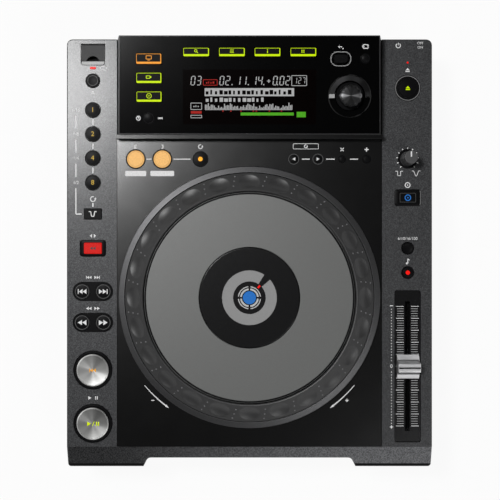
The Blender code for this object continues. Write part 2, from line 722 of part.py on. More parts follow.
def lower_case():
    """Bottom pan with the jack bay in its back wall, screw bosses, posts for drive and board, and vents."""
    add_piece("lower_case", plate([case_outline()], FOOT_HEIGHT, SPLIT - GAP / 2), TEXTURED_BLACK)
    inner = HALF_WIDTH - CASE_WALL
    floor = FOOT_HEIGHT + CASE_WALL
    hollow = span(-inner, inner, CAVITY_FRONT_Y, BAY_WALL_Y - CASE_WALL, floor, SPLIT + OVERRUN)
    cut("lower_case", hollow, stage="hollow")
    bay_half = HALF_WIDTH - BAY_END
    bay = span(-bay_half, bay_half, BAY_WALL_Y, BACK_Y + OVERRUN, BAY_LOW, BAY_TOP)
    cut("lower_case", bay, stage="hollow")
    rooted = floor - CASE_WALL / 2
    for x, y in boss_places():
        join("lower_case", drum(BOSS_RADIUS, rooted, SPLIT - GAP / 2, PIN_STEPS), (x, y, 0))
    for x, y in drive_post_places():
        join("lower_case", drum(DRIVE_POST_RADIUS, rooted, drive_low() - GAP, PIN_STEPS), (x, y, 0))
    for x, y in board_post_places():
        join("lower_case", drum(BOARD_POST_RADIUS, rooted, BOARD_LOW - GAP, PIN_STEPS), (x, y, 0))
    for k in range(VENT_COUNT):
        y = JOG_Y + (k - (VENT_COUNT - 1) / 2) * VENT_PITCH
        for side in (-1, 1):
            x = side * (DRIVE_HALF_WIDTH + VENT_SIZE[0])
            cut("lower_case", block(*VENT_SIZE, 0, floor + OVERRUN), (x, y, 0))


def deck_panel():
    """Gloss panel with the raised skirt round the jog wheel, the pan under it and its hollow post."""
    front = LIP_LINE_Y + GAP
    back = BLOCK_FRONT_Y - GAP
    half = DECK_HALF_WIDTH - GAP
    outer = PAN_RADIUS + PAN_WALL
    flange = SKIRT_RADIUS + DECK_SIDE_MARGIN / 2
    tuck = (flange - SKIRT_RADIUS) * SKIRT_RISE / SKIRT_RUN
    low = DECK_HEIGHT - DECK_THICKNESS
    rectangle = [(-half, front), (half, front), (half, back), (-half, back)]
    hole_radius = (outer + flange) / 2
    hole = [(x, y + JOG_Y) for x, y in circle(hole_radius, WHEEL_STEPS)]
    add_piece("deck_panel", plate([rectangle, hole], low, DECK_HEIGHT), GLOSS_BLACK)
    shoulder = POST_RADIUS + POST_SHOULDER
    profile = [
        (SKIRT_RADIUS - SKIRT_RUN, SKIRT_RISE),
        (flange, -tuck),
        (flange, -DECK_THICKNESS + tuck),
        (outer, -DECK_THICKNESS + tuck),
        (outer, -PAN_DEPTH - PAN_WALL),
        (POST_BORE_RADIUS, -PAN_DEPTH - PAN_WALL),
        (POST_BORE_RADIUS, POST_RISE),
        (POST_RADIUS, POST_RISE),
        (POST_RADIUS, WEB_RISE - GAP),
        (shoulder, WEB_RISE - GAP),
        (shoulder, -PAN_DEPTH),
        (PAN_RADIUS, -PAN_DEPTH),
        (PAN_RADIUS, SKIRT_RISE),
    ]
    join("deck_panel", turned(profile, WHEEL_STEPS, ring=True), (0, JOG_Y, DECK_HEIGHT))


def ring_slope():
    """The angle at which the jog ring's top falls outwards."""
    return math.atan2(RING_HIGH_RISE - RING_LOW_RISE, RING_WIDTH)


def jog_ring():
    """Turning ring of the jog wheel: a sloped top with finger dimples, and a web in to its bearing."""
    outer = PAN_RADIUS - RING_SIDE_GAP
    inner = outer - RING_WIDTH
    bore = POST_RADIUS + GAP + PIN_PLAY
    web_top = WEB_RISE + WEB_THICKNESS
    profile = [
        (inner, RING_HIGH_RISE),
        (outer, RING_LOW_RISE),
        (outer, RING_FOOT_RISE),
        (outer - RING_SKIRT_WIDTH, RING_FOOT_RISE),
        (outer - RING_SKIRT_WIDTH, WEB_RISE),
        (bore, WEB_RISE),
        (bore, web_top),
        (inner - RING_INNER_BEVEL, web_top),
        (inner - RING_INNER_BEVEL, RING_HIGH_RISE - RING_INNER_BEVEL),
    ]
    centre = (0, JOG_Y, DECK_HEIGHT)
    add_piece("jog_ring", turned(profile, WHEEL_STEPS, ring=True), RING_GREY, centre)
    middle = (inner + outer) / 2
    middle_rise = (RING_HIGH_RISE + RING_LOW_RISE) / 2
    lift = DIMPLE_BALL_DEPTH - DIMPLE_DEPTH
    spread = math.sqrt(1 - (lift / DIMPLE_BALL_DEPTH) ** 2)
    tilt = Matrix.Rotation(ring_slope(), 4, "Y")
    for k in range(DIMPLE_COUNT):
        bm = bmesh.new()
        bmesh.ops.create_uvsphere(bm, u_segments=DIMPLE_STEPS, v_segments=DIMPLE_ROWS, radius=1)
        size = (DIMPLE_HALF_WIDTH / spread, DIMPLE_HALF_LENGTH / spread, DIMPLE_BALL_DEPTH)
        bmesh.ops.scale(bm, verts=bm.verts, vec=size)
        turn = Matrix.Rotation(math.pi / 2 + k * 2 * math.pi / DIMPLE_COUNT, 4, "Z")
        out = Matrix.Translation((middle, 0, middle_rise))
        up = Matrix.Translation((0, 0, lift))
        bmesh.ops.transform(bm, verts=bm.verts, matrix=turn @ out @ tilt @ up)
        cut("jog_ring", mesh_from(bm), centre, stage="dimples")


def platter_radius():
    return PAN_RADIUS - RING_SIDE_GAP - RING_WIDTH - RING_INNER_BEVEL - PLATTER_SIDE_GAP


def jog_platter():
    """Top plate of the jog wheel, which turns with the ring and is pressed down onto the web."""
    outer = platter_radius()
    sheet = outer - PLATTER_STEP
    bore = DISC_RADIUS + DISC_GAP
    top = PLATTER_RISE - PLATTER_SHEET
    under = top - PLATTER_THICKNESS
    foot = WEB_RISE + WEB_THICKNESS + PLATTER_TRAVEL + GAP
    rib = outer - PLATTER_RIB_INSET
    profile = [
        (bore, PLATTER_RISE), (sheet, PLATTER_RISE), (sheet, top), (outer, top), (outer, under),
        (rib, under), (rib, foot), (rib - PLATTER_RIB, foot), (rib - PLATTER_RIB, under), (bore, under),
    ]
    mesh = turned(profile, PLATTER_STEPS, ring=True)
    add_piece("jog_platter", mesh, PLATTER_GREY, (0, JOG_Y, DECK_HEIGHT))


def jog_display():
    """Round screen module in the middle of the jog wheel. Its stem stands in the post, so it doesn't turn."""
    under = PLATTER_RISE - DISC_THICKNESS
    seat = POST_RISE + GAP
    stem = POST_BORE_RADIUS - GAP
    profile = [
        (0, PLATTER_RISE), (DISC_RADIUS, PLATTER_RISE), (DISC_RADIUS, under), (DISC_NECK_RADIUS, under),
        (DISC_NECK_RADIUS, seat), (stem, seat), (stem, seat - DISC_STEM_LENGTH), (0, seat - DISC_STEM_LENGTH),
    ]
    add_piece("jog_display", turned(profile, PLATTER_STEPS), GLOSS_BLACK, (0, JOG_Y, DECK_HEIGHT))


def face_front():
    """The y and z of the front edge of the display block's sloped top."""
    return BLOCK_FRONT_Y + BLOCK_FRONT_RUN, DECK_HEIGHT + BLOCK_FRONT_RISE


def block_half_width(z):
    """Half the display block's width at a height: its sides lean in."""
    return DECK_HALF_WIDTH - GAP - (z - SHELF_TOP - GAP) * math.tan(BLOCK_DRAFT)


def display_plane():
    """An empty on the display block's front top edge, its XY plane along the sloped top."""
    plane = bpy.data.objects.new("display_plane", None)
    plane.location = (0, *face_front())
    plane.rotation_euler = (BLOCK_TILT, 0, 0)
    PLAYER.objects.link(plane)
    return plane


def face_length():
    return (BACK_Y - face_front()[0]) / math.cos(BLOCK_TILT)


def face_place(name):
    """A control's x and y on the display block's sloped plane."""
    share_x, share_y = FACE_PLACE_SHARES[name]
    front = block_half_width(face_front()[1]) - FACE_RIM
    return share_x * front, share_y * face_length()


def face_outline(spare):
    """The sloped face: it narrows towards the back, as the block's sides lean in."""
    length = face_length()
    half_front = block_half_width(face_front()[1]) - FACE_RIM + spare
    half_back = block_half_width(face_front()[1] + length * math.sin(BLOCK_TILT)) - FACE_RIM + spare
    low = FACE_RIM - spare
    high = length - FACE_RIM + spare
    return [(-half_front, low), (half_front, low), (half_back, high), (-half_back, high)]


def display_housing(plane):
    """Raised block at the back: a hollow wedge with leaning sides, and a pocket for the face in its top."""
    front_y, front_z = face_front()
    base = SHELF_TOP + GAP
    slope = math.tan(BLOCK_TILT)
    section = [
        (BLOCK_FRONT_Y + GAP, base),
        (BACK_Y, base),
        (BACK_Y, front_z + (BACK_Y - front_y) * slope),
        (front_y, front_z),
        (BLOCK_FRONT_Y + GAP, DECK_HEIGHT),
    ]
    mesh = beam_along_x(section, DECK_HALF_WIDTH)
    for vert in mesh.vertices:
        vert.co.x = math.copysign(block_half_width(vert.co.z), vert.co.x)
    add_piece("display_housing", mesh, SATIN_BLACK)
    stack = (FACE_THICKNESS + GAP + FACE_BACKING) / math.cos(BLOCK_TILT)
    inner_front = front_y + BLOCK_WALL
    inner_back = BACK_Y - BLOCK_WALL
    hollow = [
        (inner_front, base - OVERRUN),
        (inner_back, base - OVERRUN),
        (inner_back, front_z + (inner_back - front_y) * slope - stack),
        (inner_front, front_z + (inner_front - front_y) * slope - stack),
    ]
    inner_half = block_half_width(section[2][1]) - BLOCK_WALL
    cut("display_housing", beam_along_x(hollow, inner_half), stage="hollow")
    pocket = plate([face_outline(GAP)], -FACE_THICKNESS - GAP, OVERRUN)
    cut("display_housing", pocket, plane=plane, stage="pocket")


def display_face(plane):
    """Gloss face in the block's pocket, with the raised ring round the selector."""
    add_piece("display_face", plate([face_outline(0)], -FACE_THICKNESS, 0), GLOSS_BLACK, plane=plane)
    inner, outer = SELECTOR_RING_BORE, SELECTOR_RING_RADIUS
    shoulder = SELECTOR_RING_RISE / 2
    profile = [
        (inner + shoulder, SELECTOR_RING_RISE), (outer - shoulder, SELECTOR_RING_RISE), (outer, shoulder),
        (outer, -FACE_THICKNESS / 2), (inner, -FACE_THICKNESS / 2), (inner, shoulder),
    ]
    place = (*face_place("selector_knob"), 0)
    join("display_face", turned(profile, KNOB_STEPS, ring=True), place, plane)


def lcd_module(plane):
    """Main screen, in the housing's opening right under the face."""
    top = -FACE_THICKNESS - GAP
    place = (0, LCD_ROW_SHARE * face_length(), 0)
    width = 2 * LCD_HALF_WIDTH
    add_piece("lcd_module", block(width, LCD_HEIGHT, top - LCD_THICKNESS, top), SATIN_BLACK, place, plane)
    hole = block(width + 2 * GAP, LCD_HEIGHT + 2 * GAP, top - LCD_THICKNESS - OVERRUN, OVERRUN)
    cut("display_housing", hole, place, plane)


def selector(plane):
    """Rotary selector: a shaft that is pressed, and a scalloped knob that turns on it."""
    place = (*face_place("selector_knob"), 0)
    shaft, body = SELECTOR_SHAFT_RADIUS, SELECTOR_BODY_RADIUS
    under = -FACE_THICKNESS - GAP
    low = under - FLANGE_THICKNESS
    top = SELECTOR_SHAFT_TOP
    profile = [(0, top), (shaft, top), (shaft, under), (body, under), (body, low), (0, low)]
    add_piece("selector_shaft", turned(profile, BUTTON_STEPS), STEEL, place, plane)
    cut("display_face", drum(shaft + GAP, under - OVERRUN, OVERRUN), place, plane)
    cut("display_housing", drum(body + GAP, low - 2 * OVERRUN, OVERRUN), place, plane)
    wave = SELECTOR_SCALLOP_DEPTH / 2
    steps = 6 * SELECTOR_SCALLOPS
    outline = []
    for k in range(steps):
        angle = 2 * math.pi * k / steps
        radius = SELECTOR_RADIUS - wave + wave * math.cos(SELECTOR_SCALLOPS * angle)
        outline.append((radius * math.cos(angle), radius * math.sin(angle)))
    knob = plate([outline], SELECTOR_LIFT, SELECTOR_HEIGHT)
    add_piece("selector_knob", knob, SATIN_BLACK, place, plane)
    cut("selector_knob", drum(shaft + GAP, SELECTOR_LIFT - OVERRUN, SELECTOR_SHAFT_TOP + GAP), place, plane)


def display_controls(plane):
    """Keys and small buttons on the display block."""
    skin = Skin(0, FACE_THICKNESS, plane, "display_face", "display_housing")
    for name in ("source_button_1", "source_button_2", "source_button_3"):
        key(name, skin, *face_place(name), SOURCE_KEY, SATIN_BLACK)
    for name in ("browse_button", "tag_list_button", "info_button", "menu_button"):
        key(name, skin, *face_place(name), MENU_KEY, SATIN_BLACK)
    key("back_button", skin, *face_place("back_button"), BACK_KEY, SATIN_BLACK)
    round_button("time_mode_button", skin, *face_place("time_mode_button"), TIME_RADIUS, SATIN_BLACK)
    round_button(
        "tag_track_button", skin, *face_place("tag_track_button"), TAG_TRACK_RADIUS, SATIN_BLACK, steps=PIN_STEPS
    )


def deck_controls():
    """The row of buttons between the display block and the jog wheel."""
    skin = Skin(DECK_HEIGHT, DECK_THICKNESS, None, "deck_panel", "upper_case")
    y = BLOCK_FRONT_Y - DECK_ROW_SHARE * DECK_BACK_MARGIN
    sizes = {
        "loop_in_button": (DECK_LOOP_RADIUS, ORANGE_LIGHT),
        "loop_out_button": (DECK_LOOP_RADIUS, ORANGE_LIGHT),
        "reloop_button": (RELOOP_RADIUS, SATIN_BLACK),
        "call_back_button": (CALL_RADIUS, SATIN_BLACK),
        "call_forward_button": (CALL_RADIUS, SATIN_BLACK),
        "delete_button": (DELETE_RADIUS, SATIN_BLACK),
        "memory_button": (MEMORY_RADIUS, SATIN_BLACK),
    }
    for name, (radius, look) in sizes.items():
        round_button(name, skin, DECK_COLUMN_SHARES[name] * DECK_HALF_WIDTH, y, radius, look)


def transport_radius():
    return SIDE_PANEL_WIDTH / 2 - TRANSPORT_EDGE


def left_controls(skin):
    """Buttons of the left panel, from the USB stop button at the back to play at the front."""
    round_button("usb_stop_button", skin, LEFT_X, row_y("usb_stop_button"), STOP_RADIUS, SATIN_BLACK)
    for beats in (1, 2, 4, 8):
        name = f"loop_button_{beats}"
        round_button(name, skin, LEFT_X, row_y(name), LOOP_RADIUS, SATIN_BLACK)
    key("beat_select_button", skin, LEFT_X, row_y("beat_select_button"), BEAT_KEY, SATIN_BLACK)
    key("direction_button", skin, LEFT_X, row_y("direction_button"), LIT_KEY, RED_LIGHT)
    offset = PAIR_SHARE * SIDE_PANEL_WIDTH
    for kind in ("track", "search"):
        y = row_y(f"{kind}_back_button")
        round_button(f"{kind}_back_button", skin, LEFT_X - offset, y, offset - PAIR_GAP, SATIN_BLACK)
        round_button(f"{kind}_forward_button", skin, LEFT_X + offset, y, offset - PAIR_GAP, SATIN_BLACK)
    play_y = LIP_LINE_Y + PLAY_FRONT_MARGIN + transport_radius()
    for name, y in (("play_button", play_y), ("cue_button", play_y + TRANSPORT_PITCH)):
        round_button(
            name, skin, LEFT_X, y, transport_radius(), SPUN_METAL, TRANSPORT_RISE,
            TRANSPORT_COLLAR, TRANSPORT_COLLAR_RISE, KNOB_STEPS,
        )


def fader_plate_length():
    slot = FADER_TRAVEL + STEM_LENGTH + 2 * FADER_SLOT_CLEARANCE
    return slot + 2 * FADER_PLATE_MARGIN


def fader_y():
    """The middle of the tempo slider's plate, slot and rest position."""
    return LIP_LINE_Y + FADER_FRONT_MARGIN + fader_plate_length() / 2


def right_controls(skin):
    """Buttons of the right panel above the tempo slider, and the tall speed adjust knob."""
    round_button("eject_button", skin, RIGHT_X, row_y("eject_button"), EJECT_RADIUS, SATIN_BLACK)
    key("jog_mode_button", skin, RIGHT_X, row_y("jog_mode_button"), LIT_KEY, SATIN_BLACK)
    master_y = fader_y() + fader_plate_length() / 2 + MASTER_BACK_MARGIN
    round_button("master_tempo_button", skin, RIGHT_X, master_y, TEMPO_BUTTON_RADIUS, SATIN_BLACK)
    range_y = master_y + TEMPO_BUTTON_PITCH
    round_button("tempo_range_button", skin, RIGHT_X, range_y, TEMPO_BUTTON_RADIUS, SATIN_BLACK)
    speed_adjust_knob(skin)


def speed_adjust_knob(skin):
    """Tall knob whose stem goes through the panel into its control."""
    low = skin.under - FLANGE_THICKNESS
    stem, top = SPEED_STEM_RADIUS, SPEED_KNOB_RADIUS - SPEED_KNOB_TAPER
    profile = [
        (0, SPEED_KNOB_HEIGHT), (top - CAP_CHAMFER, SPEED_KNOB_HEIGHT), (top, SPEED_KNOB_HEIGHT - CAP_CHAMFER),
        (SPEED_KNOB_RADIUS, GAP), (stem, GAP), (stem, skin.under), (SPEED_BODY_RADIUS, skin.under),
        (SPEED_BODY_RADIUS, low), (0, low),
    ]
    place = (RIGHT_X, row_y("speed_adjust_knob"), skin.height)
    add_piece("speed_adjust_knob", turned(profile, KNOB_STEPS), SATIN_BLACK, place)
    cut("upper_case", drum(stem + GAP, skin.under - OVERRUN, OVERRUN), place)


def tempo_slider():
    """Recessed slider unit in the right panel, and the ridged knob whose stem runs in its slot."""
    place = (RIGHT_X, fader_y(), PANEL_HEIGHT)
    length = fader_plate_length()
    under = -CASE_WALL - GAP
    body_width = FADER_PLATE_WIDTH + 2 * FADER_FLANGE
    body_length = length + 2 * FADER_FLANGE
    body = block(body_width, body_length, under - FADER_BODY_DEPTH, under)
    add_piece("tempo_fader_unit", body, SATIN_BLACK, place)
    pad_low = under - CASE_WALL / 2
    pad = block(FADER_PLATE_WIDTH - 2 * GAP, length - 2 * GAP, pad_low, -FADER_RECESS, FADER_CORNER)
    join("tempo_fader_unit", pad, place)
    slot_length = FADER_TRAVEL + STEM_LENGTH + 2 * FADER_SLOT_CLEARANCE
    slot_low = -FADER_RECESS - FADER_SLOT_DEPTH
    cut("tempo_fader_unit", block(FADER_SLOT_WIDTH, slot_length, slot_low, OVERRUN), place)
    window = block(FADER_PLATE_WIDTH, length, under - OVERRUN, OVERRUN, FADER_CORNER)
    cut("upper_case", window, place)
    half, waist, ridge = SLIDER_LENGTH / 2, SLIDER_WAIST / 2, SLIDER_RIDGE / 2
    foot = -FADER_RECESS + GAP
    foot_top = foot + SLIDER_HEIGHT * SLIDER_FOOT_SHARE
    waist_top = foot + SLIDER_HEIGHT * SLIDER_WAIST_SHARE
    top = foot + SLIDER_HEIGHT
    chamfer = [(ridge, top - CAP_CHAMFER), (ridge - CAP_CHAMFER, top)]
    rising = [(half, foot), (half, foot_top), (waist, waist_top)] + chamfer
    section = rising + [(-y, z) for y, z in reversed(rising)]
    add_piece("tempo_slider_knob", beam_along_x(section, SLIDER_WIDTH / 2), SILVER, place)
    stem = block(STEM_WIDTH, STEM_LENGTH, -FADER_RECESS - STEM_DEPTH, foot_top)
    join("tempo_slider_knob", stem, place)


def usb_axis():
    """The y and z of the USB cover's hinge, in the middle of its rounded back edge."""
    y = BACK_Y - USB_BACK_MARGIN - USB_COVER_THICKNESS / 2
    return y, PANEL_HEIGHT + USB_COVER_PROUD - USB_COVER_THICKNESS / 2


def usb_cover():
    """Hinged cap with a fingernail notch, its opening in the panel and the sloped finger recess before it."""
    axis_y, axis_z = usb_axis()
    place = (LEFT_X, axis_y, axis_z)
    half = USB_COVER_THICKNESS / 2
    reach = USB_COVER_LENGTH - half
    turns = [math.pi / 2 - k * math.pi / 6 for k in range(7)]
    section = [(half * math.cos(angle), half * math.sin(angle)) for angle in turns]
    section += [(-reach, -half), (-reach, half)]
    add_piece("usb_cover", beam_along_x(section, USB_COVER_WIDTH / 2), SATIN_BLACK, place)
    pin_half = USB_COVER_WIDTH / 2 + USB_PIN_LENGTH
    sideways = (0, math.pi / 2, 0)
    join("usb_cover", drum(USB_PIN_RADIUS, -pin_half, pin_half, PIN_STEPS), place, turn=sideways)
    notch = drum(USB_NOTCH_RADIUS, -half - OVERRUN, half + OVERRUN, KNOB_STEPS)
    cut("usb_cover", notch, (LEFT_X, axis_y - reach - USB_NOTCH_SETBACK, axis_z))
    front = axis_y - reach - GAP
    back = axis_y + half + GAP
    side = USB_COVER_WIDTH / 2 + GAP
    above = PANEL_HEIGHT + OVERRUN
    below = PANEL_HEIGHT - CASE_WALL - OVERRUN
    cut("upper_case", span(LEFT_X - side, LEFT_X + side, front, back, below, above))
    hole_half = pin_half + GAP
    hole = drum(USB_PIN_RADIUS + PIN_PLAY, -hole_half, hole_half, PIN_STEPS)
    cut("upper_case", hole, place, turn=sideways)
    wedge = [
        (front + OVERRUN, PANEL_HEIGHT - FINGER_DROP), (front + OVERRUN, above),
        (front - FINGER_RUN * (1 + OVERRUN / FINGER_DROP), above), (front, PANEL_HEIGHT - FINGER_DROP),
    ]
    cut("upper_case", beam_along_x(wedge, side - GAP), (LEFT_X, 0, 0))


def usb_socket():
    """Socket block under the panel: a well below the cover and the upright port in its floor."""
    axis_y, _ = usb_axis()
    front = axis_y + USB_COVER_THICKNESS / 2 - USB_COVER_LENGTH
    back = axis_y + USB_COVER_THICKNESS / 2
    half = USB_COVER_WIDTH / 2
    top = PANEL_HEIGHT - CASE_WALL - GAP
    bottom = top - SOCKET_WELL_DEPTH - SOCKET_PORT_DEPTH - SOCKET_FLOOR
    block_back = BACK_Y - CASE_WALL - GAP
    body = span(-half - SOCKET_RIM, half + SOCKET_RIM, front - SOCKET_RIM, block_back, bottom, top)
    add_piece("usb_socket", body, SATIN_BLACK, (LEFT_X, 0, 0))
    well_floor = top - SOCKET_WELL_DEPTH
    rim = SOCKET_RIM
    well = span(-half + rim, half - rim, front + rim, back - rim, well_floor, top + OVERRUN)
    cut("usb_socket", well, (LEFT_X, 0, 0))
    port = block(*SOCKET_PORT, well_floor - SOCKET_PORT_DEPTH, well_floor + OVERRUN)
    cut("usb_socket", port, (LEFT_X, (front + back) / 2, 0))


def drive_front():
    return CAVITY_FRONT_Y + DRIVE_FRONT_GAP


def roller_y():
    return drive_front() + ROLLER_SETBACK


def disc_y():
    """Where a loaded disc's middle and the spindle are."""
    return roller_y() + DISC_SETBACK + COMPACT_DISC_RADIUS


def drive_back():
    return disc_y() + COMPACT_DISC_RADIUS + DRIVE_REAR_ROOM


def bay_floor():
    """The top of the drive's floor, under a loaded disc."""
    return PAN_BOTTOM - DRIVE_HEADROOM - DRIVE_ROOF - DISC_BAY_HEIGHT


def drive_low():
    return bay_floor() - DRIVE_FLOOR - DRIVE_SKIRT


def slot_low():
    return bay_floor() + SLOT_STEP


def disc_slot():
    """The slot behind the notch: the lower case's front wall rises to it in a gap of the upper case."""
    wall_front = CAVITY_FRONT_Y - CASE_WALL
    half = SLOT_HALF_WIDTH
    gap = span(
        -half, half, wall_front - OVERRUN, CAVITY_FRONT_Y + OVERRUN, SPLIT - OVERRUN, slot_low() + SLOT_HEIGHT
    )
    cut("upper_case", gap)
    tab = span(
        -half + GAP, half - GAP, wall_front + GAP, CAVITY_FRONT_Y - GAP, SPLIT - CASE_WALL, slot_low()
    )
    join("lower_case", tab)


def drive_chassis():
    """Frame of the slot-loading drive: two sides, a roof, and a floor open for roller, spindle and sled."""
    front, back, half = drive_front(), drive_back(), DRIVE_HALF_WIDTH
    roof = PAN_BOTTOM - DRIVE_HEADROOM
    floor = bay_floor()
    add_piece("drive_chassis", span(-half, half, front, back, drive_low(), roof), STEEL)
    inner = half - DRIVE_SIDE
    low_y, high_y = front - OVERRUN, back + OVERRUN
    cut("drive_chassis", span(-inner, inner, low_y, high_y, floor, roof - DRIVE_ROOF))
    under = floor - DRIVE_FLOOR
    cut("drive_chassis", span(-inner, inner, low_y, high_y, drive_low() - OVERRUN, under))
    roller_half = ROLLER_HALF_LENGTH + ROLLER_CLEARANCE
    well = ROLLER_RADIUS + ROLLER_CLEARANCE
    low_z, high_z = under - OVERRUN, floor + OVERRUN
    roller_well = span(-roller_half, roller_half, roller_y() - well, roller_y() + well, low_z, high_z)
    cut("drive_chassis", roller_well)
    pin_half = ROLLER_HALF_LENGTH + ROLLER_PIN_LENGTH + GAP
    pin_hole = drum(ROLLER_PIN_RADIUS + PIN_PLAY, -pin_half, pin_half, PIN_STEPS)
    cut("drive_chassis", pin_hole, (0, roller_y(), roller_z()), turn=(0, math.pi / 2, 0))
    cut("drive_chassis", drum(HUB_SHAFT_RADIUS + GAP, low_z, high_z), (0, disc_y(), 0))
    neck = SLED_NECK_HALF_WIDTH + GAP
    first = disc_y() + SLED_REST - SLED_HALF_LENGTH - SLED_END_GAP
    last = disc_y() + SLED_REST + SLED_TRAVEL + SLED_HALF_LENGTH + SLED_END_GAP
    cut("drive_chassis", span(-neck, neck, first, last, low_z, high_z))


def roller_z():
    return slot_low() + GAP - ROLLER_RADIUS


def loading_roller():
    """Rubber roller right behind the slot, its pins in the chassis sides."""
    half = ROLLER_HALF_LENGTH
    end = half + ROLLER_PIN_LENGTH
    radius, pin = ROLLER_RADIUS, ROLLER_PIN_RADIUS
    upper = [(0, end), (pin, end), (pin, half), (radius, half)]
    profile = upper + [(r, -z) for r, z in reversed(upper)]
    place = (0, roller_y(), roller_z())
    add_piece("loading_roller", turned(profile, PIN_STEPS), RUBBER, place, turn=(0, math.pi / 2, 0))


def spindle_hub():
    """Turntable and centring cone under the disc, on a shaft through the drive's floor."""
    table = GAP + TURNTABLE_THICKNESS
    under = -DRIVE_FLOOR - GAP
    profile = [
        (0, table + SPINDLE_RISE), (SPINDLE_RADIUS, table + SPINDLE_RISE), (SPINDLE_RADIUS, table),
        (TURNTABLE_RADIUS, table), (TURNTABLE_RADIUS, GAP), (HUB_SHAFT_RADIUS, GAP), (HUB_SHAFT_RADIUS, under),
        (HUB_COLLAR_RADIUS, under), (HUB_COLLAR_RADIUS, under - HUB_COLLAR_LENGTH),
        (0, under - HUB_COLLAR_LENGTH),
    ]
    add_piece("spindle_hub", turned(profile, BUTTON_STEPS), SATIN_BLACK, (0, disc_y(), bay_floor()))


def pickup_sled():
    """Laser sled: its neck runs in the floor's slot, between two flanges, with the lens on top."""
    top, under = GAP + SLED_FLANGE, -DRIVE_FLOOR - GAP
    low = under - SLED_FLANGE
    place = (0, disc_y() + SLED_REST, bay_floor())
    wide, length, rooted = 2 * SLED_HALF_WIDTH, 2 * SLED_HALF_LENGTH, SLED_FLANGE / 2
    add_piece("pickup_sled", block(wide, length, GAP, top), STEEL, place)
    join("pickup_sled", block(2 * SLED_NECK_HALF_WIDTH, length - 2 * GAP, low + rooted, top - rooted), place)
    join("pickup_sled", block(wide, length, low, under), place, stage="keeper")
    join("pickup_sled", drum(LENS_RADIUS, top - rooted, top + LENS_RISE, PIN_STEPS), place, stage="lens")


def main_board():
    """Circuit board with the mains inlet, phono jacks, USB socket and control jack that face the jack bay."""
    back = BAY_WALL_Y - CASE_WALL - GAP
    half = BOARD_HALF_WIDTH
    board = span(-half, half, back - BOARD_DEPTH, back, BOARD_LOW, BOARD_TOP)
    add_piece("main_board", board, BOARD_GREEN)
    rooted = BOARD_TOP - BOARD_THICKNESS / 2
    backwards = (-math.pi / 2, 0, 0)
    jack_box(INLET_PLACE_SHARE, INLET_SIZE, rooted)
    jack_box(USB_B_PLACE_SHARE, USB_B_SIZE, rooted)
    inlet = INLET_PLACE_SHARE * HALF_WIDTH
    pocket = block(*INLET_OPENING, -INLET_OPENING_DEPTH, OVERRUN)
    cut("main_board", pocket, (inlet, BAY_WALL_Y, BOARD_TOP + INLET_SIZE[2] / 2), turn=backwards)
    usb_b = USB_B_PLACE_SHARE * HALF_WIDTH
    pocket = block(*USB_B_OPENING, -USB_B_OPENING_DEPTH, OVERRUN)
    cut("main_board", pocket, (usb_b, BAY_WALL_Y, BOARD_TOP + USB_B_SIZE[2] / 2), turn=backwards)
    for share in RCA_PLACE_SHARES:
        round_jack(share, RCA_RADIUS, RCA_BORE_RADIUS, RCA_REACH, rooted)
    round_jack(
        CONTROL_JACK_PLACE_SHARE, CONTROL_JACK_RADIUS, CONTROL_JACK_BORE_RADIUS, CONTROL_JACK_REACH, rooted
    )


def jack_box(share, size, rooted):
    """A square-sided socket on the board, flush with the wall of the jack bay, and its hole in that wall."""
    width, depth, height = size
    x = share * HALF_WIDTH
    half = width / 2
    join("main_board", span(x - half, x + half, BAY_WALL_Y - depth, BAY_WALL_Y, rooted, BOARD_TOP + height))
    side = half + GAP
    hole = span(
        x - side, x + side, BAY_WALL_Y - CASE_WALL - OVERRUN, BAY_WALL_Y + OVERRUN,
        BOARD_LOW - GAP, BOARD_TOP + height + GAP,
    )
    cut("lower_case", hole)


def round_jack(share, radius, bore, reach, rooted):
    """A round jack on its block, which reaches through the wall of the jack bay."""
    x = share * HALF_WIDTH
    z = BOARD_TOP + RCA_BLOCK[1] / 2
    wide, half = RCA_BLOCK[0] / 2, RCA_BLOCK[1] / 2
    inside = BAY_WALL_Y - CASE_WALL - GAP
    join("main_board", span(x - wide, x + wide, inside - 2 * half, inside, rooted, z + half))
    backwards = (-math.pi / 2, 0, 0)
    place = (x, BAY_WALL_Y, z)
    join("main_board", drum(radius, -CASE_WALL - 2 * GAP, reach), place, turn=backwards)
    cut("main_board", drum(bore, reach - RCA_REACH, reach + OVERRUN, PIN_STEPS), place, turn=backwards)
    cut("lower_case", drum(radius + GAP, -CASE_WALL - OVERRUN, OVERRUN), place, turn=backwards)


def power_button():
    """Push-push power button on the wall of the jack bay."""
    under = -CASE_WALL - GAP
    seat, low = POWER_RADIUS + FLANGE, under - FLANGE_THICKNESS
    profile = [
        (0, POWER_REACH), (POWER_RADIUS - CAP_CHAMFER, POWER_REACH), (POWER_RADIUS, POWER_REACH - CAP_CHAMFER),
        (POWER_RADIUS, under), (seat, under), (seat, low), (0, low),
    ]
    backwards = (-math.pi / 2, 0, 0)
    place = (POWER_PLACE_SHARE * HALF_WIDTH, BAY_WALL_Y, JACK_HEIGHT)
    add_piece("power_button", turned(profile, BUTTON_STEPS), SATIN_BLACK, place, turn=backwards)
    cut("lower_case", drum(POWER_RADIUS + GAP, under - OVERRUN, OVERRUN), place, turn=backwards)


def build():
    upper_case()
    lower_case()
    feet()
    deck_panel()
    jog_ring()
    jog_platter()
    jog_display()
    plane = display_plane()
    display_housing(plane)
    display_face(plane)
    lcd_module(plane)
    selector(plane)
    display_controls(plane)
    deck_controls()
    panel = Skin(PANEL_HEIGHT, CASE_WALL, None, "upper_case")
    left_controls(panel)
    right_controls(panel)
    tempo_slider()
    usb_cover()
    usb_socket()
    disc_slot()
    drive_chassis()
    loading_roller()
    spindle_hub()
    pickup_sled()
    main_board()
    power_button()
    for collection in (PLAYER, CUTTERS):
        bpy.context.scene.collection.children.link(collection)


build()
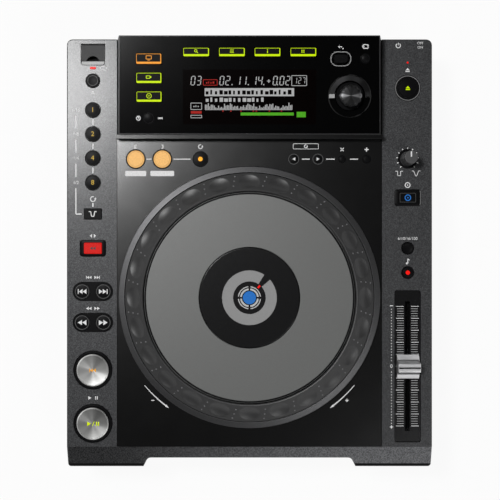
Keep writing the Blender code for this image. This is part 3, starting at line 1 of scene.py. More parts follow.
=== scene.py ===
import json
import math

import bmesh
import bpy
import numpy as np
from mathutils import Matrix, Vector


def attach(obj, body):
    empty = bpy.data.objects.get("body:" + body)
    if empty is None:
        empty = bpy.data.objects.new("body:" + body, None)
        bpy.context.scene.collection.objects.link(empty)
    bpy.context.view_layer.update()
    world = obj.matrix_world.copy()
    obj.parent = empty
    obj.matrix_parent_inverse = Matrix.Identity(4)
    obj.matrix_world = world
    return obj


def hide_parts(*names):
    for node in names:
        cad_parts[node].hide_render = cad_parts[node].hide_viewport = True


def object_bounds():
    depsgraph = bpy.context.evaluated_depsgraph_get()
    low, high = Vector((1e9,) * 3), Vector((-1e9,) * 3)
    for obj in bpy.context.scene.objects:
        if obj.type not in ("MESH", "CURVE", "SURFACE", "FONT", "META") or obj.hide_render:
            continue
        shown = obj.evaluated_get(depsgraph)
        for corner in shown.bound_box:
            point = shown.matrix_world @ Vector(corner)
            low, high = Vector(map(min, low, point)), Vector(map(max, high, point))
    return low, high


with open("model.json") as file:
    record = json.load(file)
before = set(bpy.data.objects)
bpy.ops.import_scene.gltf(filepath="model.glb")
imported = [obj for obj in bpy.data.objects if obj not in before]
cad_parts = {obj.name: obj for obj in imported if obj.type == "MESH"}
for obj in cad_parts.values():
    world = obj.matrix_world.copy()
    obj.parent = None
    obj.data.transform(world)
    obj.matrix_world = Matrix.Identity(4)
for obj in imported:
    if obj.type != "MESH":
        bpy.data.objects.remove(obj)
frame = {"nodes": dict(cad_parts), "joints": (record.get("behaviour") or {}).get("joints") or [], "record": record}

bl_info = {
    "name": "Tabletop CD Player Finish",
    "version": (1, 0, 0),
    "blender": (4, 5, 0),
    "location": "View3D > Sidebar > CD Player",
    "description": "Smooth pieces, printed marks, lit keys and finishes over a tabletop CD player's solids",
    "category": "Object",
}

# The solids' own box, kept before anything is added
CAD_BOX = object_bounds()

# The solids: how their buttons are built
FLANGE = 0.001  # how far a button's flange reaches past its cap
HOLE_GAP = 0.0003
CAP_RISE = 0.0015
SEAT_THICKNESS = 0.0012  # of that flange
LIP_LINE_SHARE = 0.05  # of the depth, from the front: where the lip starts to slope
LIP_DROP = 0.0075  # how far it slopes down to the front edge
RIGHTWARDS, BACKWARDS, UPWARDS = (1, 0, 0), (0, 1, 0), (0, 0, 1)

# Fineness
TURN_STEPS = 96
WHEEL_STEPS = 288
SMALL_STEPS = 48
ARC_STEPS = 6
FEW_STEPS = 3
SHARP_ANGLE = math.radians(32)

# Marks
MARK_HEIGHT = 0.00005
MARK_DEPTH = 0.00002
SIGN_DEPTH = 0.0001  # on a cap that isn't flat
HAIRLINE = 0.0005
THIN_LINE = 0.0008
LINE = 0.0010

# Camera
PICTURE_WIDTH = 500  # pixels
METRES_PER_PIXEL = 0.0008354  # at the deck
CAMERA_HEIGHT = 0.95  # over the deck
CAMERA_X = 0.00046
CAMERA_Y = 0.0156
CAMERA_SHIFT = -0.03
SENSOR_WIDTH = 0.036


def joint(name):
    return next(entry for entry in frame["joints"] if entry["name"] == name)


BODY_OF = {node: body for body, nodes in frame["record"]["behaviour"]["bodies"].items() for node in nodes}
UPRIGHT = np.eye(3)
JOG_CENTRE = np.array(joint("jog_turn")["pos_m"])  # at the deck's level
JOG_MIDDLE = JOG_CENTRE[:2]
DECK_LEVEL = JOG_CENTRE[2]


def face_directions():
    """Rows: the display face's right, back and outward directions. It faces away from the selector's
    press."""
    out = -np.array(joint("selector_press")["axis"])
    return np.stack([RIGHTWARDS, np.cross(out, RIGHTWARDS), out])


FACE = face_directions()


def extent(node, directions=UPRIGHT):
    """Lowest and highest reach of a solid along three directions."""
    mesh = frame["nodes"][node].data
    points = np.empty(3 * len(mesh.vertices), np.float32)
    mesh.vertices.foreach_get("co", points)
    along = points.reshape(-1, 3) @ directions.T
    return along.min(axis=0), along.max(axis=0)


PANEL_LEVEL = extent("upper_case")[1][2]
FACE_LEVEL = extent("menu_button", FACE)[1][2] - CAP_RISE


# Shapes: a shape is an array of points and a list of arrays of faces


def grid_shape(grid, wrap_rows=False, wrap_columns=True, caps=True):
    """Faces between neighbouring points of a grid. A wrapped side joins its last line to its first, and
    caps close the first and last rows with one face each."""
    rows, columns = grid.shape[:2]
    index = np.arange(rows * columns).reshape(rows, columns)
    ends = index
    if wrap_rows:
        index = np.vstack([index, index[:1]])
    if wrap_columns:
        index = np.hstack([index, index[:, :1]])
    corners = (index[:-1, :-1], index[1:, :-1], index[1:, 1:], index[:-1, 1:])
    faces = [np.stack(corners, axis=-1).reshape(-1, 4)]
    if caps and not wrap_rows:
        faces += [ends[:1], ends[-1:, ::-1]]
    return grid.reshape(-1, 3), faces


def joined(*shapes):
    points, faces, start = [], [], 0
    for shape_points, shape_faces in shapes:
        points.append(shape_points)
        faces += [part + start for part in shape_faces]
        start += len(shape_points)
    return np.concatenate(points), faces


def moved(shape, offset=0, directions=UPRIGHT):
    """A shape shifted by an offset along three directions, and turned to them: p = (q + offset) in
    directions."""
    return (shape[0] + np.asarray(offset)) @ directions, shape[1]


def softened(points, radius, steps=ARC_STEPS):
    """A profile with its inner corners rounded: each corner gives way to a quadratic curve between two
    points that lie radius away from it on either side, or half the side's length where the side is short.
    One more point on either straight side keeps the side's shading flat."""
    points = np.asarray(points, float)
    before, corner, after = points[:-2], points[1:-1], points[2:]

    def towards(other, reach, most):
        arm = other - corner
        length = np.linalg.norm(arm, axis=1, keepdims=True)
        return (corner + arm * np.minimum(reach / length, most))[:, None]

    first, last = towards(before, radius, 0.48), towards(after, radius, 0.48)
    t = np.linspace(0, 1, steps + 1)[None, :, None]
    curve = (1 - t) ** 2 * first + 2 * t * (1 - t) * corner[:, None] + t ** 2 * last
    guards = [towards(other, radius * 1.15, 0.49) for other in (before, after)]
    curve = np.concatenate([guards[0], curve, guards[1]], axis=1)
    return np.concatenate([points[:1], curve.reshape(-1, 2), points[-1:]])


def softened_ring(points, radius, steps=ARC_STEPS):
    """The same for a closed profile, all of whose corners are rounded."""
    points = np.asarray(points, float)
    around = np.concatenate([points[-1:], points, points[:1]])
    return softened(around, radius, steps)[1:-1]


def lathe(profile, steps=TURN_STEPS, ring=False):
    """A profile of (r, z) points turned about Z: x = r cos a, y = r sin a, for a from 0 to a full turn."""
    radius, height = np.asarray(profile, float).T
    angle = np.linspace(0, 2 * np.pi, steps, endpoint=False)
    x, y = np.outer(radius, np.cos(angle)), np.outer(radius, np.sin(angle))
    z = np.broadcast_to(height[:, None], x.shape)
    return grid_shape(np.stack([x, y, z], axis=-1), wrap_rows=ring)


def round_loop(radius, steps=TURN_STEPS):
    angle = np.linspace(0, 2 * np.pi, steps, endpoint=False)
    return radius * np.stack([np.cos(angle), np.sin(angle)], axis=-1)


def box_loop(width, depth, corner, steps=ARC_STEPS):
    """Points round a rectangle with round corners: four quarter circles about the corners' centres."""
    angle = np.linspace(0, np.pi / 2, steps + 1)
    quarter = np.concatenate([angle + turn * np.pi / 2 for turn in range(4)])
    x_side = np.repeat([1, -1, -1, 1], steps + 1) * (width / 2 - corner)
    y_side = np.repeat([1, 1, -1, -1], steps + 1) * (depth / 2 - corner)
    return np.stack([x_side + corner * np.cos(quarter), y_side + corner * np.sin(quarter)], axis=-1)


def stack(loops, heights, wrap_rows=False):
    """A solid through closed loops of equal count, each at its own height, from the top down."""
    loops = np.asarray(loops, float)
    level = np.broadcast_to(np.reshape(heights, (-1, 1, 1)), loops.shape[:2] + (1,))
    return grid_shape(np.concatenate([loops, level], axis=-1), wrap_rows)


def frame_shape(outer, inner, low, high):
    """A flat frame between an outer and an inner loop of equal count."""
    return stack([outer, outer, inner, inner], [high, low, low, high], wrap_rows=True)


def box_cap(width, depth, corner, profile):
    """A key: (inset, height) points of its profile, each a round-cornered rectangle drawn in by the
    inset."""
    loops = [box_loop(width - 2 * i, depth - 2 * i, max(corner - i, corner / 8)) for i, _ in profile]
    return stack(loops, [height for _, height in profile])


def ribbon(path, width, low, high, closed=False):
    """A flat line along a path: each point moves half the width, one for all or its own, to both sides,
    square to the path's direction."""
    path = np.asarray(path, float)
    if closed:
        ahead = np.roll(path, -1, axis=0) - np.roll(path, 1, axis=0)
    else:
        ahead = np.gradient(path, axis=0)
    ahead = ahead / np.linalg.norm(ahead, axis=1, keepdims=True)
    side = np.stack([-ahead[:, 1], ahead[:, 0]], axis=-1) * np.reshape(width, (-1, 1)) / 2
    left, right = path + side, path - side
    rails = [np.column_stack([rail, np.full(len(path), z)]) for rail, z in (
        (left, high), (left, low), (right, low), (right, high))]
    return grid_shape(np.stack(rails, axis=1), wrap_rows=closed)


def extruded(section, left, right):
    """A solid whose section, in y and z, runs along x."""
    section = np.asarray(section, float)
    ends = np.broadcast_to(np.array([left, right])[:, None, None], (2, len(section), 1))
    return grid_shape(np.concatenate([ends, np.broadcast_to(section, (2,) + section.shape)], axis=-1))


def prism(outline, low, high):
    """A flat convex outline between two heights."""
    outline = np.asarray(outline, float)
    return stack([outline, outline], [high, low])


def curve_shape(loops, low, high):
    """A plate between two heights from an outer loop and the loops of its holes, filled by a 2D curve."""
    curve = bpy.data.curves.new("plate", "CURVE")
    curve.dimensions = "2D"
    curve.fill_mode = "BOTH"
    curve.extrude = (high - low) / 2
    for loop in loops:
        spline = curve.splines.new("POLY")
        spline.points.add(len(loop) - 1)
        flat = np.column_stack([loop, np.zeros(len(loop)), np.ones(len(loop))])
        spline.points.foreach_set("co", flat.ravel())
        spline.use_cyclic_u = True
    return filled_shape(curve, (low + high) / 2)


def filled_shape(curve, middle):
    """The welded mesh of a curve or text, as a shape."""
    guide = bpy.data.objects.new("guide", curve)
    bpy.context.scene.collection.objects.link(guide)
    graph = bpy.context.evaluated_depsgraph_get()
    mesh = bpy.data.meshes.new_from_object(guide.evaluated_get(graph))
    bpy.data.objects.remove(guide)
    bm = bmesh.new()
    bm.from_mesh(mesh)
    bmesh.ops.remove_doubles(bm, verts=bm.verts, dist=MARK_DEPTH / 4)
    bmesh.ops.triangulate(bm, faces=bm.faces)
    bmesh.ops.recalc_face_normals(bm, faces=bm.faces)
    bm.to_mesh(mesh)
    bm.free()
    points = np.empty(3 * len(mesh.vertices))
    mesh.vertices.foreach_get("co", points)
    corners = np.empty(len(mesh.loops), int)
    mesh.loops.foreach_get("vertex_index", corners)
    bpy.data.meshes.remove(mesh)
    return points.reshape(-1, 3) + [0, 0, middle], [corners.reshape(-1, 3)]


def number_shape(words, size, low, high):
    """Digits and plain signs, centred, in Blender's own font."""
    curve = bpy.data.curves.new("number", "FONT")
    curve.body = words
    curve.size = size
    curve.align_x = "CENTER"
    curve.align_y = "CENTER"
    curve.extrude = (high - low) / 2
    return filled_shape(curve, (low + high) / 2)


def make(name, shape, finish, stands_for=None, slot=None, on=None):
    """Makes a shape an object in place of the solid that it stands for, on that solid's body or
    another's."""
    points, faces = shape
    corners = np.concatenate([part.ravel() for part in faces])
    counts = np.concatenate([np.full(len(part), part.shape[1]) for part in faces])
    mesh = bpy.data.meshes.new(name)
    mesh.vertices.add(len(points))
    mesh.vertices.foreach_set("co", np.ascontiguousarray(points, np.float32).ravel())
    mesh.loops.add(len(corners))
    mesh.loops.foreach_set("vertex_index", corners.astype(np.int32))
    mesh.polygons.add(len(counts))
    mesh.polygons.foreach_set("loop_start", (np.cumsum(counts) - counts).astype(np.int32))
    mesh.update(calc_edges=True)
    mesh.validate()
    mesh.shade_smooth()
    mesh.set_sharp_from_angle(angle=SHARP_ANGLE)
    mesh.materials.append(finish)
    piece = bpy.data.objects.new(name, mesh)
    bpy.context.scene.collection.objects.link(piece)
    body = BODY_OF.get(on or stands_for, "root")
    if stands_for:
        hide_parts(stands_for)
    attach(piece, body)


def dress(node, finish):
    """Gives a solid that stays as it is its finish."""
    mesh = frame["nodes"][node].data
    mesh.materials.clear()
    mesh.materials.append(finish)


# Finishes


class Nodes:
    """A new material's node tree, and short ways to add to it."""

    def __init__(self, name, colour, roughness, metallic=0.0):
        self.material = bpy.data.materials.new(name)
        self.material.use_nodes = True
        self.tree = self.material.node_tree
        self.shader = self.tree.nodes["Principled BSDF"]
        self.surface({"Base Color": (*colour, 1), "Roughness": roughness, "Metallic": metallic})
        self.place = self.add("ShaderNodeTexCoord").outputs["Object"]

    def feed(self, node, inputs):
        """Puts numbers, colours and other nodes' sockets into a node's inputs."""
        for name, value in inputs.items():
            if isinstance(value, bpy.types.NodeSocket):
                self.tree.links.new(value, node.inputs[name])
            else:
                node.inputs[name].default_value = value

    def surface(self, inputs):
        self.feed(self.shader, inputs)

    def add(self, kind, inputs=None, **settings):
        """A node with its settings and inputs."""
        node = self.tree.nodes.new(kind)
        for name, value in settings.items():
            setattr(node, name, value)
        self.feed(node, inputs or {})
        return node

    def math(self, operation, *values):
        """The result of a sum on numbers and sockets."""
        return self.add("ShaderNodeMath", dict(enumerate(values)), operation=operation).outputs["Value"]

    def noise(self, scale, detail=2.0, stretch=(1, 1, 1)):
        """Noise on Object coordinates, with features about one over scale metres wide."""
        place = self.add("ShaderNodeMapping", {"Scale": stretch, "Vector": self.place}).outputs["Vector"]
        noise = self.add("ShaderNodeTexNoise", {"Scale": scale, "Detail": detail, "Vector": place})
        return noise.outputs["Fac"]

    def ramp(self, factor, stops):
        """A colour ramp. Stops are (position, colour) pairs."""
        ramp = self.add("ShaderNodeValToRGB", {"Fac": factor})
        elements = ramp.color_ramp.elements
        while len(elements) < len(stops):
            elements.new(0.5)
        for element, (position, colour) in zip(elements, stops):
            element.position = position
            element.color = (*colour, 1)
        return ramp.outputs["Color"]

    def tones(self, factor, colour, *stops):
        """A ramp of one colour's lighter and darker tones. Stops are (position, share) pairs."""
        return self.ramp(factor, [(position, shade(colour, share)) for position, share in stops])

    def span(self, factor, low, high):
        """A factor of 0 to 1 spread between two values."""
        spread = self.add("ShaderNodeMapRange", {"Value": factor, "To Min": low, "To Max": high})
        return spread.outputs["Result"]

    def within(self, value, first, last):
        """A factor that goes from 0 to 1 between two values."""
        reach = self.add("ShaderNodeMapRange", {"Value": value, "From Min": first, "From Max": last})
        return reach.outputs["Result"]

    def along(self, direction, first, last):
        """A factor that goes from 0 to 1 between two places along a direction of the object."""
        dot = self.add("ShaderNodeVectorMath", {0: self.place, 1: direction}, operation="DOT_PRODUCT")
        return self.within(dot.outputs["Value"], first, last)

    def mix(self, factor, first, second):
        """A blend of two colours or colour sockets."""
        first, second = ((*value, 1) if isinstance(value, tuple) else value for value in (first, second))
        return self.add("ShaderNodeMix", {0: factor, 6: first, 7: second}, data_type="RGBA").outputs[2]

    def paint(self, colour):
        self.surface({"Base Color": colour})

    def bump(self, height, strength, distance):
        bump = self.add("ShaderNodeBump", {"Strength": strength, "Distance": distance, "Height": height})
        self.surface({"Normal": bump.outputs["Normal"]})


FINISHES = {}


def kept(build):
    """Builds each finish once and hands the same material out after that."""
    def fetch(*values):
        key = (build.__name__, *values)
        if key not in FINISHES:
            FINISHES[key] = build(*values)
        return FINISHES[key]
    return fetch


def tuned(colour):
    return tuple(round(channel, 5) for channel in colour)


def shade(colour, share):
    """A lighter or darker tone of a colour."""
    return tuple(min(channel * share, 1.0) for channel in colour)


@kept
def graphite(colour):
    """Sparkle paint of the side panels, coated clear. On the lip it turns to a coarse leather-like texture,
    which is paler towards the right, as painted light, and nearly black along the front edge, as painted
    shade."""
    nodes = Nodes("graphite_paint", colour, 0.56, 1.0)
    nodes.surface({"Coat Weight": 0.42, "Coat Roughness": 0.21})
    sparkle = nodes.tones(nodes.noise(1500), colour, (0.36, 0.6), (0.52, 1), (0.68, 1.6))
    coarse = nodes.noise(1100, 3.0)
    # Lit and shaded copies of the leather, blended from left to right below: painted light.
    dark = nodes.tones(coarse, colour, (0.38, 0.3), (0.64, 1.3))
    pale = nodes.tones(coarse, colour, (0.38, 1.6), (0.64, 4.6))
    low, high = CAD_BOX
    leather = nodes.mix(nodes.along(RIGHTWARDS, low[0] * 0.75, high[0] * 0.5), dark, pale)
    # Painted shade: nearly black along the lip's front edge.
    painted_front_shade = nodes.mix(nodes.along(BACKWARDS, low[1] + 0.0030, low[1] + 0.0026), leather, shade(colour, 0.12))
    lip_line = low[1] + LIP_LINE_SHARE * (high[1] - low[1])
    slope = LIP_DROP / (lip_line - low[1])
    surface = PANEL_LEVEL - slope * lip_line
    lip = nodes.mix(nodes.along((0, -slope, 1), surface - 0.0003, surface - 0.0006), painted_front_shade, sparkle)
    nodes.paint(nodes.mix(nodes.along(BACKWARDS, lip_line, lip_line - 0.0002), sparkle, lip))
    nodes.bump(coarse, 0.35, 0.0002)
    return nodes.material


@kept
def textured_black(colour):
    """Moulded plastic with a fine even grain."""
    nodes = Nodes("textured_black", colour, 0.55)
    grain = nodes.noise(1300, 3.0)
    nodes.paint(nodes.tones(grain, colour, (0.35, 0.6), (0.7, 1.7)))
    nodes.bump(grain, 0.5, 0.0002)
    return nodes.material


def moulded(nodes, colour, sheen, stops, fine, patches, uneven, bump):
    """Grain in the colour and the surface, and patches in the roughness. Sheen is how strongly the bare
    surface mirrors: half is a plain plastic."""
    nodes.surface({"Specular IOR Level": sheen})
    roughness = nodes.shader.inputs["Roughness"].default_value
    grain = nodes.noise(fine)
    nodes.paint(nodes.tones(grain, colour, *stops))
    rough = nodes.span(nodes.noise(patches), roughness * (1 - uneven), roughness * (1 + uneven))
    nodes.surface({"Roughness": rough})
    nodes.bump(grain, *bump)
    return nodes.material


@kept
def gloss(colour, roughness, sheen):
    """Gloss black plastic: a faint grain, and the slight unevenness of a moulded panel."""
    nodes = Nodes("gloss_black", colour, roughness)
    return moulded(nodes, colour, sheen, ((0.35, 0.5), (0.68, 2.2)), 1500, 60, 0.06, (0.05, 0.00005))


@kept
def satin(name, colour, roughness, sheen=0.5, metallic=0.0):
    """Moulded plastic or satin paint."""
    nodes = Nodes(name, colour, roughness, metallic)
    return moulded(nodes, colour, sheen, ((0.3, 0.8), (0.75, 1.25)), 2200, 500, 0.1, (0.12, 0.0001))


@kept
def spun_metal(name, x, y, colour, brightest=(135, 90), stops=((0.1, 0.6), (0.55, 0.9), (0.9, 1.5)),
               roughness=0.3):
    """Turned metal: fine circles about the button's middle, and sectors round it whose tone is the sum of a
    wave of two crests a turn and a weaker one of six, each brightest at its own angle in degrees: painted
    highlights in place of the metal's own reflections."""
    nodes = Nodes(name, colour, roughness, 1.0)
    centre = nodes.add("ShaderNodeMapping", {"Location": (-x, -y, 0), "Vector": nodes.place})
    centre = centre.outputs["Vector"]
    split = nodes.add("ShaderNodeSeparateXYZ", {"Vector": centre}).outputs
    angle = nodes.math("ARCTAN2", split["Y"], split["X"])
    # Painted highlights: waves of lighter and darker sectors round the middle.
    painted_highlight_waves = []
    for crests, first in zip((2, 6), brightest):
        turned = nodes.math("MULTIPLY_ADD", angle, crests, -crests * math.radians(first))
        painted_highlight_waves.append(nodes.math("COSINE", turned))
    weaker = 0.45
    both = nodes.math("MULTIPLY_ADD", painted_highlight_waves[1], weaker, painted_highlight_waves[0])
    nodes.paint(nodes.tones(nodes.within(both, -1 - weaker, 1 + weaker), colour, *stops))
    rings = nodes.add("ShaderNodeTexWave", {"Scale": 900, "Distortion": 0.6, "Vector": centre},
                      wave_type="RINGS", rings_direction="SPHERICAL")
    nodes.bump(rings.outputs["Fac"], 0.08, 0.00005)
    return nodes.material


@kept
def silver_paint(colour):
    """Silver paint on the tempo slider, brushed across."""
    nodes = Nodes("silver_paint", colour, 0.32, 0.75)
    lines = nodes.noise(900, 2.0, (0.08, 1, 1))
    nodes.paint(nodes.tones(lines, colour, (0.3, 0.85), (0.7, 1.1)))
    nodes.bump(lines, 0.1, 0.00005)
    return nodes.material


@kept
def lit(name, colour, strength=0.7, uneven=0.8):
    """A lens or mark lit from behind: part of its tone is its own light, a little uneven as a diffuser
    is."""
    nodes = Nodes(name, shade(colour, 0.35), 0.32)
    glow = nodes.tones(nodes.noise(900), colour, (0.3, uneven), (0.65, 1))
    nodes.surface({"Specular IOR Level": 0.08, "Emission Color": glow, "Emission Strength": strength})
    return nodes.material


@kept
def printed(name, colour):
    """Screen-printed ink with slightly uneven cover."""
    nodes = Nodes(name, colour, 0.45)
    nodes.surface({"Specular IOR Level": 0.2})
    nodes.paint(nodes.tones(nodes.noise(1500, 1.0), colour, (0.25, 0.8), (0.6, 1)))
    return nodes.material


@kept
def metal(name, colour, roughness):
    """Plain sheet or turned metal with long faint scratches."""
    nodes = Nodes(name, colour, roughness, 1.0)
    lines = nodes.noise(1200, 2.0, (1, 0.1, 1))
    nodes.surface({"Roughness": nodes.span(lines, roughness * 0.8, roughness * 1.2)})
    return nodes.material


@kept
def circuit(colour, top):
    """Green solder mask with lighter copper runs under it, and the black plastic of the jacks above the
    board."""
    nodes = Nodes("circuit_board", colour, 0.4)
    mask, under, copper = ((*shade(colour, share), 1) for share in (1, 0.8, 2.2))
    colours = {"Color1": mask, "Color2": under, "Mortar": copper, "Vector": nodes.place}
    runs = nodes.add("ShaderNodeTexBrick", {"Scale": 160, "Mortar Size": 0.03, **colours})
    plastic = nodes.ramp(nodes.noise(1800), ((0.35, (0.008, 0.008, 0.008)), (0.7, (0.016, 0.016, 0.017))))
    nodes.paint(nodes.mix(nodes.along(UPWARDS, top, top + 0.0001), runs.outputs["Color"], plastic))
    return nodes.material


# Marks


def arc(radius, first, last, steps=SMALL_STEPS, middle=(0, 0)):
    """Points on a circle from one angle to another, in degrees."""
    angle = np.radians(np.linspace(first, last, steps))
    return np.stack([np.cos(angle), np.sin(angle)], axis=-1) * radius + middle


def triangle(x, half, reach):
    """A triangle that points along X, or back along it with a negative reach."""
    points = [(x, half), (x, -half), (x + reach, 0)]
    return points if reach > 0 else points[::-1]


def bar(x, y, width, height):
    """A rectangle of twice that width and height about a point."""
    left, right, low, high = x - width, x + width, y - height, y + height
    return np.array([(right, high), (left, high), (left, low), (right, low)])


def dip(top, bottom):
    """A line that sinks between two flats, from half its width at the top to half at the bottom."""
    return [(-0.5, 0.3), (-top, 0.3), (-bottom, -0.3), (bottom, -0.3), (top, 0.3), (0.5, 0.3)]


GLYPHS = {  # filled outlines and lines of each plain sign, in shares of its size
    "play": ([triangle(-0.35, 0.42, 0.75)], []),
    "pause": ([bar(x, 0, 0.1, 0.4) for x in (-0.2, 0.2)], []),
    "rewind": ([triangle(x, 0.3, -0.48) for x in (0.0, 0.5)], []),
    "wind": ([triangle(x, 0.3, 0.48) for x in (0.0, -0.5)], []),
    "skip_back": ([triangle(0.06, 0.28, -0.42), triangle(0.5, 0.28, -0.42), bar(-0.43, 0, 0.05, 0.28)], []),
    "skip_on": ([triangle(-0.06, 0.28, 0.42), triangle(-0.5, 0.28, 0.42), bar(0.43, 0, 0.05, 0.28)], []),
    "eject": ([[(0, 0.42), (-0.45, -0.1), (0.45, -0.1)], bar(0, -0.33, 0.45, 0.1)], []),
    "left": ([triangle(0.3, 0.35, -0.6)], []),
    "right": ([triangle(-0.3, 0.35, 0.6)], []),
    "plus": ([bar(0, 0, 0.45, 0.12), bar(0, 0.285, 0.12, 0.165), bar(0, -0.285, 0.12, 0.165)], []),
    "minus": ([bar(0, 0, 0.45, 0.12)], []),
    "cross": ([], [[(-0.35, -0.35), (0.35, 0.35)], [(-0.35, 0.35), (0.35, -0.35)]]),
    "disc": ([arc(0.12, 0, 330, 12)], [arc(0.44, 0, 360)]),
    "list": ([bar(0, y, 0.45, 0.06) for y in (0.3, 0, -0.3)], []),
    "lens": ([], [arc(0.27, 0, 360, middle=(-0.1, 0.1)), [(0.1, -0.1), (0.42, -0.42)]]),
    "screen": ([bar(0, -0.42, 0.25, 0.05)],
               [[(-0.5, -0.22), (-0.5, 0.4), (0.5, 0.4), (0.5, -0.22), (-0.5, -0.22)]]),
    "stick": ([bar(0.33, 0, 0.13, 0.14)],
              [[(-0.5, -0.24), (-0.5, 0.24), (0.2, 0.24), (0.2, -0.24), (-0.5, -0.24)]]),
    "info": ([arc(0.11, 0, 330, 12, (0, 0.36)), bar(0, -0.15, 0.09, 0.3)], []),
    "menu": ([bar(x, y, 0.13, 0.13) for y in (0.2, -0.2) for x in (-0.32, 0.12)], []),
    "return": ([triangle(-0.2, 0.25, -0.35)], [[(-0.25, 0), (0.2, 0)], arc(0.2, 0, -90, 12, (0.2, -0.2))]),
    "clock": ([], [arc(0.42, 0, 360), [(0, 0.28), (0, 0), (0.2, 0)]]),
    "loop": ([[(0.62, 0.0), (0.42, 0.28), (0.22, 0.0)]], [arc(0.4, 0, -290)]),
    "note": ([arc(0.17, 0, 345, 16, (-0.12, -0.3))], [[(0.03, -0.3), (0.03, 0.42), (0.3, 0.22)]]),
    "power": ([bar(0, 0.28, 0.06, 0.22)], [arc(0.38, 125, 415)]),
    "bracket_in": ([], [[(0.15, 0.4), (-0.15, 0.4), (-0.15, -0.4), (0.15, -0.4)]]),
    "bracket_out": ([], [[(-0.15, 0.4), (0.15, 0.4), (0.15, -0.4), (-0.15, -0.4)]]),
    "tag": ([arc(0.08, 0, 330, 12, (-0.2, 0))],
            [[(-0.25, 0.3), (-0.45, 0), (-0.25, -0.3), (0.45, -0.3), (0.45, 0.3), (-0.25, 0.3)]]),
    "swap": ([triangle(-0.15, 0.3, -0.35), triangle(0.15, 0.3, 0.35)], []),
    "steps": ([], [dip(0.25, 0.15)]),
    "step_pair": ([], [dip(0.2, 0.2)]),
    "slope_pair": ([], [dip(0.3, 0.06)]),
}


class Marks:
    """Flat marks on one surface, kept as thin solids, in the surface's right, back and outward directions.
    Each method that adds one hands the marks back."""

    def __init__(self, level, directions=UPRIGHT, height=MARK_HEIGHT, depth=MARK_DEPTH):
        self.directions = directions
        self.reach = level - depth, level + height
        self.shapes = []

    def add(self, shape):
        self.shapes.append(shape)
        return self

    def line(self, path, width=LINE, closed=False):
        return self.add(ribbon(path, width, *self.reach, closed))

    def ring(self, radius, middle, width=HAIRLINE):
        return self.line(round_loop(radius) + middle, width, closed=True)

    def fill(self, outline):
        return self.add(prism(outline, *self.reach))

    def disc(self, radius, middle, steps=SMALL_STEPS):
        return self.fill(round_loop(radius, steps) + middle)

    def frame(self, outer, inner):
        return self.add(frame_shape(outer, inner, *self.reach))

    def sign(self, name, middle, size, width=THIN_LINE):
        """One of the plain signs."""
        fills, lines = GLYPHS[name]
        for outline in fills:
            self.fill(np.asarray(outline) * size + middle)
        for path in lines:
            self.line(even_path(path) * size + middle, width)
        return self

    def signs(self, table):
        """Signs beside buttons: each row is a button, a sign, its offset from the button's middle, and its
        size."""
        for node, name, offset, size in table:
            self.sign(name, Seat(node, self.directions).middle + offset, size)
        return self

    def number(self, words, middle, size):
        return self.add(moved(number_shape(words, size, *self.reach), (*middle, 0)))

    def make(self, name, finish, on=None, slot=None):
        make(name, moved(joined(*self.shapes), 0, self.directions), finish, None, slot, on)


def even_path(path, share=0.02):
    """A path with two more points by each of its corners, so that a line along it keeps its width round
    them."""
    path = np.asarray(path, float)
    if len(path) < 3:
        return path
    near = path[1:-1] + (path[:-2] - path[1:-1]) * share
    far = path[1:-1] + (path[2:] - path[1:-1]) * share
    corners = np.stack([near, far], axis=1).reshape(-1, 2)
    return np.concatenate([path[:1], corners, path[-1:]])


# Colours and sizes that a user may change


def colour_property(name, default, description):
    return bpy.props.FloatVectorProperty(
        name=name, description=description, default=default, subtype="COLOR", size=3, min=0, max=1
    )


def length_property(name, default, description):
    return bpy.props.FloatProperty(
        name=name, description=description, default=default, unit="LENGTH", precision=5, min=0
    )


def number_property(name, default, subtype, description, **limits):
    return bpy.props.FloatProperty(
        name=name, description=description, default=default, subtype=subtype, **limits
    )


class PlayerColours(bpy.types.PropertyGroup):
    graphite: colour_property("Graphite", (0.0565, 0.0573, 0.0595), "Sparkle paint of the upper case")
    case_black: colour_property("Case black", (0.016, 0.016, 0.017), "Textured lower case")
    gloss_black: colour_property("Gloss black", (0.0006, 0.0006, 0.0007), "Deck panel and display face")
    satin_black: colour_property("Satin black", (0.005, 0.005, 0.0055), "Buttons, knobs and housings")
    ring: colour_property("Ring grey", (0.018, 0.018, 0.0185), "Turning ring of the jog wheel")
    skirt: colour_property("Skirt grey", (0.078, 0.078, 0.080), "Raised rim round the jog wheel")
    platter: colour_property("Platter grey", (0.080, 0.083, 0.079), "Top plate of the jog wheel")
    metal: colour_property("Turned metal", (0.52, 0.52, 0.51), "Cue and play buttons")
    silver: colour_property("Silver", (0.72, 0.72, 0.73), "Tempo slider")
    white: colour_property("Print white", (0.90, 0.90, 0.90), "Printed marks")
    yellow_green: colour_property("Yellow-green", (0.52, 0.72, 0.0), "Lit frames of the keys")
    orange: colour_property("Orange", (1.0, 0.56, 0.18), "Lit loop buttons")
    amber: colour_property("Amber", (0.62, 0.40, 0.04), "Numerals of the loop buttons")
    red: colour_property("Red", (0.80, 0.010, 0.006), "Direction key and small lamps")
    blue: colour_property("Blue", (0.02, 0.13, 0.42), "Jog mode key and wheel display")


class PlayerSizes(bpy.types.PropertyGroup):
    edge: length_property("Edge", 0.0004, "Rounding of button edges")
    bezel_width: length_property("Bezel width", 0.0009, "Width of the dark ring round a button")
    bezel_height: length_property("Bezel height", 0.0002, "Height of that ring over the panel")
    dimple_depth: length_property("Dimple depth", 0.0014, "Depth of the finger dimples in the jog ring")
    dimple_turn: number_property("Dimple turn", 0.0, "ANGLE", "Turn of the jog ring's dimples at rest")


